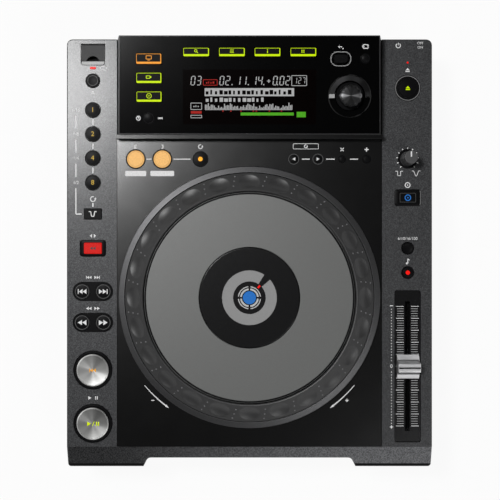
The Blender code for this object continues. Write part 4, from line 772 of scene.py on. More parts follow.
class PlayerStage(bpy.types.PropertyGroup):
    floor: colour_property("Floor", (0.90, 0.90, 0.90), "Colour of the floor and the wall round it")
    key_power: number_property("Key light", 16.0, "POWER", "Power of the upper left lamp")
    fill_power: number_property("Fill light", 6.0, "POWER", "Power of the lower right lamp")
    world: number_property("World", 0.03, "FACTOR", "Strength of the even light")
    paper_share: number_property(
        "Paper white", 0.93, "FACTOR", "Share of plain white in the floor as it is seen", min=0, max=1
    )


def tone(name):
    """One of the colours that a user may change."""
    return tuned(getattr(bpy.context.scene.player_colours, name))


def sizes():
    return bpy.context.scene.player_sizes


def black():
    return satin("satin_black", tone("satin_black"), 0.30, 0.25)


def button_black():
    return satin("button_black", tone("satin_black"), 0.34, 0.05)


def shine():
    return gloss(tone("gloss_black"), 0.207, 0.65)


def white():
    return printed("white_print", tone("white"))


def ink(name, level):
    """Grey ink, as bright as its level. The gleam by the jog mode key and the rings on the search buttons
    are painted highlights drawn with it.
    """
    return printed(name, (level, level, level))


def faint():
    return ink("dark_ring_print", 0.10)


def red_lamp():
    return lit("lamp_red", tone("red"), 1.0)


# Buttons


class Seat:
    """A piece's place and sizes from its solid: its middle, half its whole width, its cap's width and depth
    and half that width, and the levels of its top, its foot and its flange's upper face."""

    def __init__(self, node, directions=UPRIGHT):
        low, high = extent(node, directions)
        self.directions = directions
        self.middle = (low[:2] + high[:2]) / 2
        self.x, self.y = self.middle
        self.place = (self.x, self.y, 0)
        self.reach = (high[0] - low[0]) / 2
        self.width, self.depth = high[:2] - low[:2] - 2 * FLANGE
        self.radius = self.width / 2
        self.top, self.foot, self.seat = high[2], low[2], low[2] + SEAT_THICKNESS

    def make(self, name, shape, finish, *stands_for, **settings):
        """Makes a shape at the piece's middle an object."""
        make(name, moved(shape, self.place, self.directions), finish, *stands_for, **settings)

    def marks(self, depth=MARK_DEPTH, drop=0, height=MARK_HEIGHT):
        """Marks on the piece's top, or by drop under it."""
        return Marks(self.top - drop, self.directions, height, depth)


def round_cap(at, edge, dish=0.0):
    """A round button: a crown that sinks by dish in its middle, or at its rim where dish is negative, as
    the square of the place along the radius, then a soft edge, and the flange under the panel."""
    share = np.linspace(0.02, 1, 8)
    sink = dish * (1 - share ** 2) if dish > 0 else -dish * share ** 2
    crown = np.column_stack([share * (at.radius - edge), at.top - sink])
    side = [(at.radius, at.top - sink[-1]), (at.radius, at.seat), (at.reach, at.seat), (at.reach, at.foot),
            (at.radius / 8, at.foot)]
    rest = softened(np.concatenate([crown[-1:], side]), edge)
    return lathe(np.concatenate([crown[:-1], rest]), SMALL_STEPS)


def key_cap(at, edge, corner):
    """A rectangular button: a soft-edged cap on its flange."""
    middle = min(at.width, at.depth) / 2 * 0.9
    profile = [(middle, at.top), (edge, at.top), (0, at.top - edge), (0, at.seat), (-FLANGE, at.seat),
               (-FLANGE, at.foot)]
    return box_cap(at.width, at.depth, corner, profile)


def bezel(radius, width, level, height):
    """A flat ring with a soft top edge round a button's hole."""
    inner = radius + HOLE_GAP / 2
    outer = inner + width
    low, high = level - height, level + height
    profile = [(inner, high), (outer, high), (outer, low), (inner, low)]
    return lathe(softened_ring(profile, height / 2, FEW_STEPS), ring=True)


def make_round(node, dish=0.0, directions=UPRIGHT, finish=None):
    """A smooth round button in place of its solid. Returns its place."""
    at = Seat(node, directions)
    cap = round_cap(at, sizes().edge, dish)
    at.make(f"{node}_cap", cap, finish or button_black(), node)
    return at


def make_key(node, directions=UPRIGHT, corner=0.0008, finish=None):
    """The same for a rectangular button."""
    at = Seat(node, directions)
    cap = key_cap(at, sizes().edge, corner)
    at.make(f"{node}_cap", cap, finish or button_black(), node)
    return at


def bezels(name, nodes, level, directions=UPRIGHT, width=None):
    """The dark rings round a group of round buttons, as one piece of the panel."""
    width, height = width or sizes().bezel_width, sizes().bezel_height
    places = [Seat(node, directions) for node in nodes]
    rings = joined(*(moved(bezel(at.radius, width, level, height), at.place) for at in places))
    make(name, moved(rings, 0, directions), button_black())


def rounded_bezel(name, node, width, depth):
    """A dark frame with round corners and a sloping outer edge round a key."""
    at = Seat(node)
    level, height = PANEL_LEVEL, sizes().bezel_height
    corner, steps = 0.0026, 8
    loops = [box_loop(at.width + HOLE_GAP, at.depth + HOLE_GAP, 0.0009, steps),
             box_loop(width - 2 * height, depth - 2 * height, corner - height, steps),
             box_loop(width, depth, corner, steps)]
    levels = [level + height, level + height, level + height / 2, level - MARK_DEPTH, level - MARK_DEPTH]
    shape = stack([loops[k] for k in (0, 1, 2, 2, 0)], levels, wrap_rows=True)
    at.make(name, shape, button_black())


LOOP_BUTTONS = ("loop_button_1", "loop_button_2", "loop_button_4", "loop_button_8")
TRACK_BUTTONS = ("track_back_button", "track_forward_button")
SEARCH_BUTTONS = ("search_back_button", "search_forward_button")
SOURCE_KEYS = ("source_button_1", "source_button_2", "source_button_3")
MENU_KEYS = ("browse_button", "tag_list_button", "info_button", "menu_button")
CALL_BUTTONS = ("call_back_button", "call_forward_button")
DECK_ROUND = ("reloop_button", *CALL_BUTTONS, "delete_button", "memory_button")
LOOP_ENDS = ("loop_in_button", "loop_out_button")


# Pieces


class PLAYER_OT_case(bpy.types.Operator):
    """Finish the two cases, turn the rubber feet and set the screws that hold the cases"""

    bl_idname = "player.case"
    bl_label = "Case"

    FEET = ("foot_front_left", "foot_front_right", "foot_rear_left", "foot_rear_right")
    DOWNWARDS = np.array([[1.0, 0, 0], [0, -1.0, 0], [0, 0, -1.0]])
    SCREW_COLUMN = 0.1465  # from the middle, as the bosses stand
    SCREW_ROW_SHARES = (0.17, 0.745)  # of the side panels' length, from the back
    LIP_LENGTH = 0.0179  # of the front lip, before the side panels
    SCREW_HEAD = ((0.00005, 0.0010), (0.0012, 0.0009), (0.0024, 0.0005), (0.0029, 0.0), (0.0029, -0.0003),
                  (0.00005, -0.0003))  # radius and height
    CROSS_LEVEL, CROSS_SIZE = 0.0009, 0.0032

    def execute(self, context):
        dress("upper_case", graphite(tone("graphite")))
        dress("lower_case", textured_black(tone("case_black")))
        for node in self.FEET:
            self.foot(node)
        self.screws(-extent("lower_case")[0][2])
        return {"FINISHED"}

    def foot(self, node):
        """A tapered foot with a shallow cup below and the plug that holds it above."""
        at = Seat(node)
        radius, taper = at.reach, at.reach * 0.12
        flat = extent("lower_case")[0][2] - HOLE_GAP
        cup = taper / 2
        profile = [(radius * 0.02, at.top), (radius / 4, at.top), (radius / 4, flat), (radius, flat),
                   (radius - taper, 0), (radius * 0.5, 0), (radius * 0.45, cup), (radius * 0.02, cup)]
        rubber = satin("foot_rubber", (0.012, 0.012, 0.012), 0.75)
        at.make(f"{node}_pad", lathe(softened(profile, cup), SMALL_STEPS), rubber, node)

    def screws(self, flat):
        """Cross-head screws over the bosses, each a low dome with a dark cross on it."""
        low, high = CAD_BOX
        heads, crosses = [], Marks(flat + self.CROSS_LEVEL, self.DOWNWARDS, depth=SIGN_DEPTH)
        for share in self.SCREW_ROW_SHARES:
            y = share * (high[1] - low[1] - self.LIP_LENGTH) - high[1]
            for x in (-self.SCREW_COLUMN, self.SCREW_COLUMN):
                heads.append(moved(lathe(self.SCREW_HEAD, SMALL_STEPS), (x, y, flat)))
                crosses.sign("plus", (x, y), self.CROSS_SIZE)
        steel = metal("screw_steel", (0.12, 0.12, 0.12), 0.35)
        make("case_screws", moved(joined(*heads), 0, self.DOWNWARDS), steel, slot="steel")
        dark = satin("screw_recess", (0.004, 0.004, 0.004), 0.6, 0.1)
        crosses.make("case_screw_crosses", dark, slot="steel")


class PLAYER_OT_deck(bpy.types.Operator):
    """Make the gloss deck panel with its skirt and pan"""

    bl_idname = "player.deck"
    bl_label = "Deck panel"

    THICKNESS = 0.0025
    PAN_GAP = 0.0005  # round the turning ring
    SKIRT_INSET = 0.0010  # from the deck's sides, and from the skirt to the plate's hole
    SKIRT_LEAN, SKIRT_FALL = 0.0004, 0.0010  # from the pan's edge outwards
    POST_RADII = (0.024, 0.020, 0.016)
    POST_LEVELS = (0.0027, 0.0042)

    def execute(self, context):
        low, high = extent("deck_panel")
        thick = self.THICKNESS
        pan = extent("jog_ring")[1][0] + self.PAN_GAP
        wall = pan + thick
        skirt = min(high[0], -low[0]) - self.SKIRT_INSET
        holes = [(skirt - self.SKIRT_INSET, WHEEL_STEPS, JOG_MIDDLE)]
        for at in map(Seat, DECK_ROUND + LOOP_ENDS):
            holes.append((at.radius + HOLE_GAP, SMALL_STEPS, at.middle))
        outline = box_loop(*(high - low)[:2], 0.0002, 2) + (high + low)[:2] / 2
        loops = [outline] + [round_loop(radius, steps)[::-1] + middle for radius, steps, middle in holes]
        plate = curve_shape(loops, DECK_LEVEL - thick, DECK_LEVEL)
        make("deck_plate", plate, shine(), "deck_panel")
        rise, bottom = high[2] - DECK_LEVEL, low[2] - DECK_LEVEL
        floor = bottom + thick
        outer, middle, inner = self.POST_RADII
        step, top = self.POST_LEVELS
        profile = [(wall, -thick), (skirt, -thick), (skirt, 0),
                   (skirt - self.SKIRT_LEAN, rise - self.SKIRT_FALL), (pan, rise), (pan, floor),
                   (outer, floor), (outer, step), (middle, step), (middle, top), (inner, top),
                   (inner, bottom), (wall, bottom)]
        bowl = lathe(softened_ring(profile[::-1], 0.0005, 5), WHEEL_STEPS, ring=True)
        finish = satin("skirt_black", tone("skirt"), 0.42, 0.5, 0.9)
        make("deck_skirt", moved(bowl, JOG_CENTRE), finish, slot="gloss_black")
        return {"FINISHED"}


class PLAYER_OT_jog_ring(bpy.types.Operator):
    """Make the jog wheel's turning ring with its finger dimples and raised dots"""

    bl_idname = "player.jog_ring"
    bl_label = "Jog ring"

    DIMPLES = 24
    COLUMNS = 36  # points round the ring for each dimple
    ROWS = 30  # points across its slope
    HALF_LENGTH, HALF_WIDTH = 0.0088, 0.0063  # of a dimple
    # Places of the dots: across the slope from outside, and round a pitch
    DOT_SHARES = ((0.16, -0.040), (0.43, 0.0), (0.72, 0.040))
    DOT_RADIUS, DOT_RISE = 0.0007, 0.0004
    SLOPE_RUN = 0.0142
    EDGE_LEVEL = 0.0048  # of the slope's outer edge, over the deck, as are the two below
    SHELF_LEVEL = 0.0052
    UNDERSIDE = 0.003
    WALL = 0.003
    BORE = 0.0204

    def execute(self, context):
        at = Seat("jog_ring")
        outer, inner = at.reach, at.reach - self.SLOPE_RUN
        edge, top, foot = self.EDGE_LEVEL, at.top - DECK_LEVEL, at.foot - DECK_LEVEL
        slope = math.atan2(top - edge, outer - inner)
        pitch = 2 * np.pi / self.DIMPLES
        turn = sizes().dimple_turn
        angle = np.linspace(0, 2 * np.pi, self.DIMPLES * self.COLUMNS, endpoint=False)
        share = np.linspace(0, 1, self.ROWS)[:, None]
        radius = outer + (inner - outer) * share
        along = radius * ((angle - np.pi / 2 - turn + pitch / 2) % pitch - pitch / 2)
        across = (share - 0.5) * math.hypot(top - edge, outer - inner)
        away = (along / self.HALF_LENGTH) ** 2 + (across / self.HALF_WIDTH) ** 2
        sink = sizes().dimple_depth * np.clip(1 - away, 0, None)
        slopes = radius - sink * math.sin(slope), edge + (top - edge) * share - sink * math.cos(slope)
        wall, bevel = outer - self.WALL, inner - 0.0011
        before = [(wall, self.UNDERSIDE), (wall, foot), (outer, foot), (outer, edge - 0.0006),
                  (outer - 0.0002, edge - 0.0001)]
        after = [(inner - 0.0004, top - 0.0001), (bevel, top - 0.0009), (bevel, self.SHELF_LEVEL),
                 (self.BORE, self.SHELF_LEVEL), (self.BORE, self.UNDERSIDE)]
        ends = [np.repeat(np.array(points).T[..., None], len(angle), axis=2) for points in (before, after)]
        radii, levels = np.concatenate([ends[0], slopes, ends[1]], axis=1)
        grid = np.stack([radii * np.cos(angle), radii * np.sin(angle), levels], axis=-1)[::-1]
        finish = satin("ring_grey", tone("ring"), 0.45, 0.72)
        make("jog_ring_body", moved(grid_shape(grid, wrap_rows=True), JOG_CENTRE), finish, "jog_ring")
        self.dots((outer, edge), (inner, top), slope, pitch, turn)
        return {"FINISHED"}

    def dots(self, first, last, slope, pitch, turn):
        """Small domes between the dimples: a cap of a sphere, tilted to the slope."""
        dome = np.radians([8, 40, 75, 95])
        profile = np.column_stack([self.DOT_RADIUS * np.sin(dome), self.DOT_RISE * np.cos(dome)])
        points, faces = lathe(profile, 8)
        cos, sin = math.cos(slope), math.sin(slope)
        points = points @ np.array([[cos, 0, -sin], [0, 1, 0], [sin, 0, cos]])
        shapes = []
        for k in range(self.DIMPLES):
            for share, lead in self.DOT_SHARES:
                radius, level = np.array(first) + (np.array(last) - first) * share
                turned = np.pi / 2 + turn + (k + 0.5 + lead) * pitch
                cos, sin = math.cos(turned), math.sin(turned)
                spin = np.array([[cos, sin, 0], [-sin, cos, 0], [0, 0, 1]])
                shapes.append(((points + [radius, 0, level]) @ spin + JOG_CENTRE, faces))
        finish = satin("ring_dots", shade(tone("ring"), 9.0), 0.45)
        make("jog_ring_dots", joined(*shapes), finish, on="jog_ring", slot="ring_grey")


class PLAYER_OT_jog_top(bpy.types.Operator):
    """Make the jog wheel's top plate, and the round screen in its middle with its printed and lit rings"""

    bl_idname = "player.jog_top"
    bl_label = "Jog wheel top"

    SCREEN_GAP = 0.0005
    THICKNESS = 0.0024
    STEP_WIDTH, STEP_DROP = 0.0016, 0.0004  # of the step round the plate
    STEP_LINE = (0.0009, 0.0013)  # its dark line, painted shade by the gap round the plate: from the outer edge to the line's middle, and its width
    RIB_INSET, RIB_WIDTH = 0.007, 0.002
    SINK = 0.0003  # of the screen's glass under its rim
    SCREEN_THICKNESS = 0.004
    NECK, STEM = 0.019, 0.0157  # radii under the screen
    SHOULDER = 0.0045  # over the deck
    CIRCLES = ((0.0091, 0.0008), (0.0070, 0.0015))  # radius and width
    CENTRE_RADIUS = 0.0054

    def execute(self, context):
        self.plate(Seat("jog_platter"), Seat("jog_display").reach + self.SCREEN_GAP)
        self.screen(Seat("jog_display"))
        return {"FINISHED"}

    def plate(self, at, bore):
        outer, top, foot = at.reach, at.top - DECK_LEVEL, at.foot - DECK_LEVEL
        step, rim, under = outer - self.STEP_WIDTH, top - self.STEP_DROP, top - self.THICKNESS
        rib = outer - self.RIB_INSET
        inside = rib - self.RIB_WIDTH
        profile = [(bore, top), (step, top), (step, rim), (outer, rim), (outer, under), (rib, under),
                   (rib, foot), (inside, foot), (inside, under), (bore, under)]
        plate = lathe(softened_ring(profile, 0.0002, FEW_STEPS), WHEEL_STEPS, ring=True)
        finish = satin("platter_grey", tone("platter"), 0.47, 1.0)
        make("jog_platter_plate", moved(plate, JOG_CENTRE), finish, "jog_platter")
        inset, width = self.STEP_LINE
        # Painted shade: a black line on the step darkens the gap between the plate and the ring.
        dark = Marks(at.top - self.STEP_DROP)
        dark.line(round_loop(outer - inset, WHEEL_STEPS) + JOG_MIDDLE, width, closed=True)
        dark.make("jog_platter_step", button_black(), "jog_platter")

    def screen(self, at):
        disc, level, under = at.reach, at.top - self.SINK, at.top - self.SCREEN_THICKNESS
        shoulder, middle = DECK_LEVEL + self.SHOULDER, at.reach * 0.01
        profile = [(middle, level), (disc - self.SINK, level), (disc, level - self.SINK), (disc, under),
                   (self.NECK, under), (self.NECK, shoulder), (self.STEM, shoulder), (self.STEM, at.foot),
                   (middle, at.foot)]
        body = lathe(softened(profile, self.SINK, FEW_STEPS), WHEEL_STEPS)
        glass = satin("wheel_screen", (0.008, 0.008, 0.0085), 0.22, 0.3)
        make("jog_display_body", moved(body, (*JOG_MIDDLE, 0)), glass, "jog_display")
        band = Marks(level).line(arc(0.01805, 57, 401.5, 160, JOG_MIDDLE), 0.0091)
        band.make("jog_display_ring", ink("ring_print", 0.33), slot="gloss_black")
        pale = Marks(level)
        for radius, width in self.CIRCLES:
            for first in range(6, 366, 90):
                pale.line(arc(radius, first, first + 78, 24, JOG_MIDDLE), width)
        pale.make("jog_display_circles", ink("pale_print", 0.62), slot="gloss_black")
        blue, red = (lit(f"wheel_{colour}", tone(colour), 1.0) for colour in ("blue", "red"))
        centre = Marks(level).disc(self.CENTRE_RADIUS, JOG_MIDDLE)
        centre.make("jog_display_centre", blue, slot="gloss_black")
        pointer = Marks(level).line(arc(0.0120, 45.5, 53, 12, JOG_MIDDLE), 0.0027)
        pointer.make("jog_display_pointer", red, slot="red_light")


class PLAYER_OT_display_block(bpy.types.Operator):
    """Finish the display block and its gloss face, and make its ledge, the selector and the ring round
    it"""

    bl_idname = "player.display_block"
    bl_label = "Display block"

    RING_RADII, RING_RISE = (0.0116, 0.0178), 0.0016
    INDEX_HEIGHT = 0.0016  # half of the mark's
    LEDGE_INSET = 0.0010  # under the face's front edge
    LEDGE_RISE, LEDGE_DROP = 0.0004, 0.0030
    LEDGE_REACH = 0.0008  # before the block
    LEDGE_LIFT = 0.0001  # over the deck
    SIDE_GAP = 0.0003
    SCALLOPS = 12
    SCALLOP_DEPTH = 0.00075

    def execute(self, context):
        dress("display_housing", satin("block_black", (0.020, 0.020, 0.021), 0.36, 0.5, 0.3))
        dress("display_face", gloss(tone("gloss_black"), 0.145, 0.22))
        dress("lcd_module", satin("screen_frame", (0.004, 0.004, 0.004), 0.2, 0.3))
        dress("selector_shaft", metal("shaft_steel", (0.4, 0.4, 0.41), 0.3))
        at = Seat("selector_knob", FACE)
        self.ring(at)
        self.knob(at)
        self.ledge()
        return {"FINISHED"}

    def ring(self, at):
        (inner, outer), rise = self.RING_RADII, self.RING_RISE
        top = FACE_LEVEL + rise
        profile = [(inner, FACE_LEVEL + rise * 0.4), (inner + rise / 2, top), (outer - rise / 2, top),
                   (outer, FACE_LEVEL), (inner, FACE_LEVEL)]
        ring = lathe(softened_ring(profile, 0.0003, FEW_STEPS), ring=True)
        x, y, _ = np.append(at.middle, FACE_LEVEL) @ FACE
        # Painted highlights: lighter sectors round the ring.
        stops = ((0.2, 0.25), (0.9, 1.35))
        dark = spun_metal("selector_ring", x, y, (0.036, 0.036, 0.037), (125, 60), stops, 0.42)
        at.make("selector_ring", ring, dark)
        well = bezel(at.radius, inner - at.radius, FACE_LEVEL, MARK_HEIGHT)
        at.make("selector_seat", well, button_black())
        mark = bar(at.x - (inner + outer) / 2, at.y, (outer - inner - rise) / 2, self.INDEX_HEIGHT)
        Marks(top, FACE).fill(mark).make("selector_index", ink("index_print", 0.45))

    def knob(self, at):
        """The scalloped knob: each loop is drawn in by its inset, and by its share of the scallops, which
        follow the absolute value of a cosine round the knob."""
        radius, height = at.reach, at.top - at.foot
        angle = np.linspace(0, 2 * np.pi, self.SCALLOPS * 16, endpoint=False)
        scallop = 1 - np.abs(np.cos(self.SCALLOPS * angle / 2))
        levels = np.array([0, 0.0002, 0.0004, 0.0013, height - 0.0004, height, height, 0.0024])
        insets = np.array([radius * 0.98, radius * 0.35, 0.0012, 0, 0, 0.0003, radius * 0.6, radius * 0.64])
        shares = np.array([0, 0.1, 0.8, 1, 1, 1, 0, 0])
        loops = radius - insets[:, None] - self.SCALLOP_DEPTH * shares[:, None] * scallop
        knob = stack(loops[..., None] * round_loop(1, len(angle)), at.top - levels)
        x, y, _ = np.append(at.middle, at.top) @ FACE
        # Painted highlights: a bright wedge on either side of the knob's top.
        stops = ((0.35, 0.5), (0.75, 1.3), (0.96, 5.5))
        finish = spun_metal("knob_metal", x, y, (0.035, 0.035, 0.036), (0, 0), stops, 0.42)
        at.make("selector_knob_cap", knob, finish, "selector_knob")

    def ledge(self):
        """The gloss ledge along the block's front edge, nearly level, with a soft front corner."""
        low, high = extent("display_housing")
        face = extent("display_face")[0]
        edge, top, foot = face[1] - self.LEDGE_INSET, face[2] + self.LEDGE_RISE, DECK_LEVEL + self.LEDGE_LIFT
        front, drop = low[1] - self.LEDGE_REACH, self.LEDGE_DROP
        section = [(edge, top), (front, top - 0.0001), (front, top - drop / 2), (low[1], foot),
                   (low[1] + 0.0005, foot), (edge, top - drop)]
        sides = low[0] + self.SIDE_GAP, high[0] - self.SIDE_GAP
        make("display_ledge", extruded(softened_ring(section[::-1], 0.0002, FEW_STEPS), *sides), shine())


class PLAYER_OT_screen(bpy.types.Operator):
    """Draw the main screen with plain digits, bars and a made-up waveform"""

    bl_idname = "player.screen"
    bl_label = "Screen"

    # Places and sizes are shares of the screen's width and height
    SEGMENTS = {"0": "abcdef", "1": "bc", "2": "abged", "3": "abgcd", "4": "fgbc", "7": "abc"}
    READOUT = ((0.056, "03"), (0.272, "02"), (0.395, "11"), (0.515, "14"), (0.672, "0"), (0.722, "02"))
    READOUT_POINTS = (0.365, 0.487, 0.603, 0.706)
    TEMPO_DIGITS = "127"
    PALE_BOXES = ((0.817, 0.706, 0.929, 0.890), (0.060, 0.270, 0.141, 0.389), (0.060, 0.118, 0.141, 0.165))
    RED_TICKS = (0.296, 0.356, 0.431, 0.524, 0.547, 0.645, 0.735)
    GREEN_BARS = ((0.434, 0.161, 0.833, 0.215), (0.855, 0.128, 0.923, 0.228))
    WAVE_BARS = 60
    PLUS_SIZE = 0.0030

    def execute(self, context):
        low, high = extent("lcd_module", FACE)
        self.low, self.size = low[:2], (high - low)[:2]
        glass = gloss((0.0011, 0.0004, 0.0004), 0.145, 0.12)
        Marks(FACE_LEVEL, FACE).fill(self.rectangle(0, 0, 1, 1)).make("screen_glass", glass)
        level = FACE_LEVEL + MARK_HEIGHT
        pale, red, green = (Marks(level, FACE) for _ in range(3))
        self.readout(pale)
        pale.fill(self.rectangle(0.164, 0.514, 0.835, 0.661))
        self.dashes(pale, 0.172, 0.622, 0.412, 0.494, 13)
        self.waveform(pale)
        dark = Marks(level + MARK_HEIGHT, FACE)
        self.dashes(dark, 0.172, 0.822, 0.545, 0.632, 19)
        dark.make("screen_dashes", glass)
        red.line(self.outline(0.154, 0.715, 0.258, 0.815), HAIRLINE)
        self.dashes(red, 0.175, 0.240, 0.745, 0.785, 4)
        red.fill(self.rectangle(0.060, 0.196, 0.141, 0.242))
        for share in self.RED_TICKS:
            red.fill(self.rectangle(share, 0.232, share + 0.01, 0.253))
        for sides in self.GREEN_BARS:
            green.fill(self.rectangle(*sides))
        for marks, name, colour in ((pale, "screen_pale", (0.34, 0.34, 0.34)),
                                    (red, "screen_red", (0.30, 0.012, 0.008)),
                                    (green, "screen_green", (0.06, 0.30, 0.012))):
            marks.make(name, lit(name, colour, 1.0))
        return {"FINISHED"}

    def rectangle(self, left, low, right, high):
        """A rectangle's corners from the back right one on."""
        return self.low + np.array([(right, high), (left, high), (left, low), (right, low)]) * self.size

    def outline(self, left, low, right, high):
        """The line round a rectangle, back to its start."""
        corners = self.rectangle(left, low, right, high)[[1, 2, 3, 0, 1]]
        return even_path(corners)

    def dashes(self, marks, left, right, low, high, count):
        """Plain dashes in place of a line of words: each one's length is a fixed share plus a sine of its
        number."""
        step = (right - left) / count
        for k in range(count):
            length = step * (0.62 + 0.22 * math.sin(5 * k))
            start = left + k * step
            drop = (high - low) * (0.18 + 0.18 * math.sin(3 * k + 1))
            marks.fill(self.rectangle(start, low, start + length, high - drop))

    def readout(self, marks):
        """Seven-segment digits with their points, and the frames beside and below them."""
        for left, digits in self.READOUT:
            for k, digit in enumerate(digits):
                self.digit(marks, left + k * 0.045, 0.712, 0.034, 0.172, digit)
        for share in self.READOUT_POINTS:
            marks.fill(self.rectangle(share, 0.715, share + 0.008, 0.735))
        for sides in self.PALE_BOXES:
            marks.line(self.outline(*sides), HAIRLINE)
        for k, digit in enumerate(self.TEMPO_DIGITS):
            self.digit(marks, 0.832 + k * 0.031, 0.740, 0.021, 0.118, digit)
        self.dashes(marks, 0.078, 0.128, 0.315, 0.345, 3)
        marks.sign("plus", self.low + np.array([0.645, 0.790]) * self.size, self.PLUS_SIZE)

    def digit(self, marks, left, low, width, height, digit):
        """The segments of one digit, as thin rectangles that lean a little."""
        thick, thin = width * 0.20, height * 0.085
        right, top, middle = left + width, low + height, low + height / 2
        segments = {
            "a": (left + thick, top - thin, right - thick, top),
            "b": (right - thick, middle + thin / 2, right, top - thin),
            "c": (right - thick, low + thin, right, middle - thin / 2),
            "d": (left + thick, low, right - thick, low + thin),
            "e": (left, low + thin, left + thick, middle - thin / 2),
            "f": (left, middle + thin / 2, left + thick, top - thin),
            "g": (left + thick, middle - thin / 2, right - thick, middle + thin / 2),
        }
        lean = np.array([[1, 0], [0.12, 1]])
        foot = self.low + np.array([left, low]) * self.size
        for name in self.SEGMENTS[digit]:
            marks.fill((self.rectangle(*segments[name]) - foot) @ lean + foot)

    def waveform(self, marks):
        """Bars whose height is a sum of three sines of their place."""
        places = np.linspace(0.166, 0.815, self.WAVE_BARS)
        heights = 0.060 + 0.026 * np.sin(places * 41)
        heights += 0.020 * np.sin(places * 143 + 1) + 0.018 * np.sin(places * 311)
        for place, height in zip(places, np.clip(heights, 0.015, None)):
            marks.fill(self.rectangle(place, 0.275, place + 0.007, 0.275 + height))
        marks.fill(self.rectangle(0.166, 0.262, 0.822, 0.272))


class PLAYER_OT_display_keys(bpy.types.Operator):
    """Make the lit keys and small buttons of the display block, and print the signs by them"""

    bl_idname = "player.display_keys"
    bl_label = "Display keys"

    KEY_SIGNS = ("screen", "stick", "disc", "lens", "list", "info", "menu")
    FRAME_INSET = 0.0004
    FRAME_THIN, FRAME_SIDE, FRAME_FRONT = 0.00035, 0.0007, 0.0017
    FRAME_CORNERS = (0.0008, 0.0005)
    SIGN_RISE = 0.0007
    # The back button's ring: its outer and inner reach past the button, and their corners
    RING_REACH = ((0.0058, 0.0052, 0.0058), (0.0042, 0.0036, 0.0050))
    BESIDE = (  # button, sign, offset, size
        ("time_mode_button", "clock", (-0.0085, 0), 0.0038),
        ("time_mode_button", "skip_back", (0.0095, 0), 0.0038),
        ("back_button", "return", (0, 0.0098), 0.0046),
        ("tag_track_button", "tag", (0, 0.0098), 0.0050),
    )

    def execute(self, context):
        green = lit("key_green", tone("yellow_green"), 1.0)
        orange = lit("key_orange", (0.80, 0.30, 0.03), 1.0)
        for node, sign in zip(SOURCE_KEYS + MENU_KEYS, self.KEY_SIGNS):
            light = self.light(make_key(node, FACE), sign)
            light.make(f"{node}_light", orange if node == SOURCE_KEYS[0] else green, node)
        at = make_key("back_button", FACE, corner=0.0034)
        outer, inner = (box_loop(at.width + right, at.depth + back, corner) + at.middle
                        for right, back, corner in self.RING_REACH)
        pill = Marks(FACE_LEVEL, FACE, sizes().bezel_height).frame(outer, inner)
        pill.make("back_button_ring", ink("grey_print", 0.30))
        small = ("time_mode_button", "tag_track_button")
        for node in small:
            make_round(node, -0.0004, FACE)
        bezels("display_bezels", small, FACE_LEVEL, FACE, 0.0006)
        Marks(FACE_LEVEL, FACE).signs(self.BESIDE).make("display_print", white(), slot="gloss_black")
        return {"FINISHED"}

    def light(self, at, sign):
        """The lit frame on a key's top, deepest along its front, and the sign inside it."""
        thin, side, front = self.FRAME_THIN, self.FRAME_SIDE, self.FRAME_FRONT
        width, depth = at.width - self.FRAME_INSET, at.depth - self.FRAME_INSET
        outer = box_loop(width, depth, self.FRAME_CORNERS[0])
        inner = box_loop(width - thin - side, depth - thin - front, self.FRAME_CORNERS[1])
        middle = at.middle + [(thin - side) / 2, (front - thin) / 2]
        light = at.marks().frame(outer + at.middle, inner + middle)
        return light.sign(sign, at.middle + [0, self.SIGN_RISE], at.depth * 0.5, HAIRLINE)


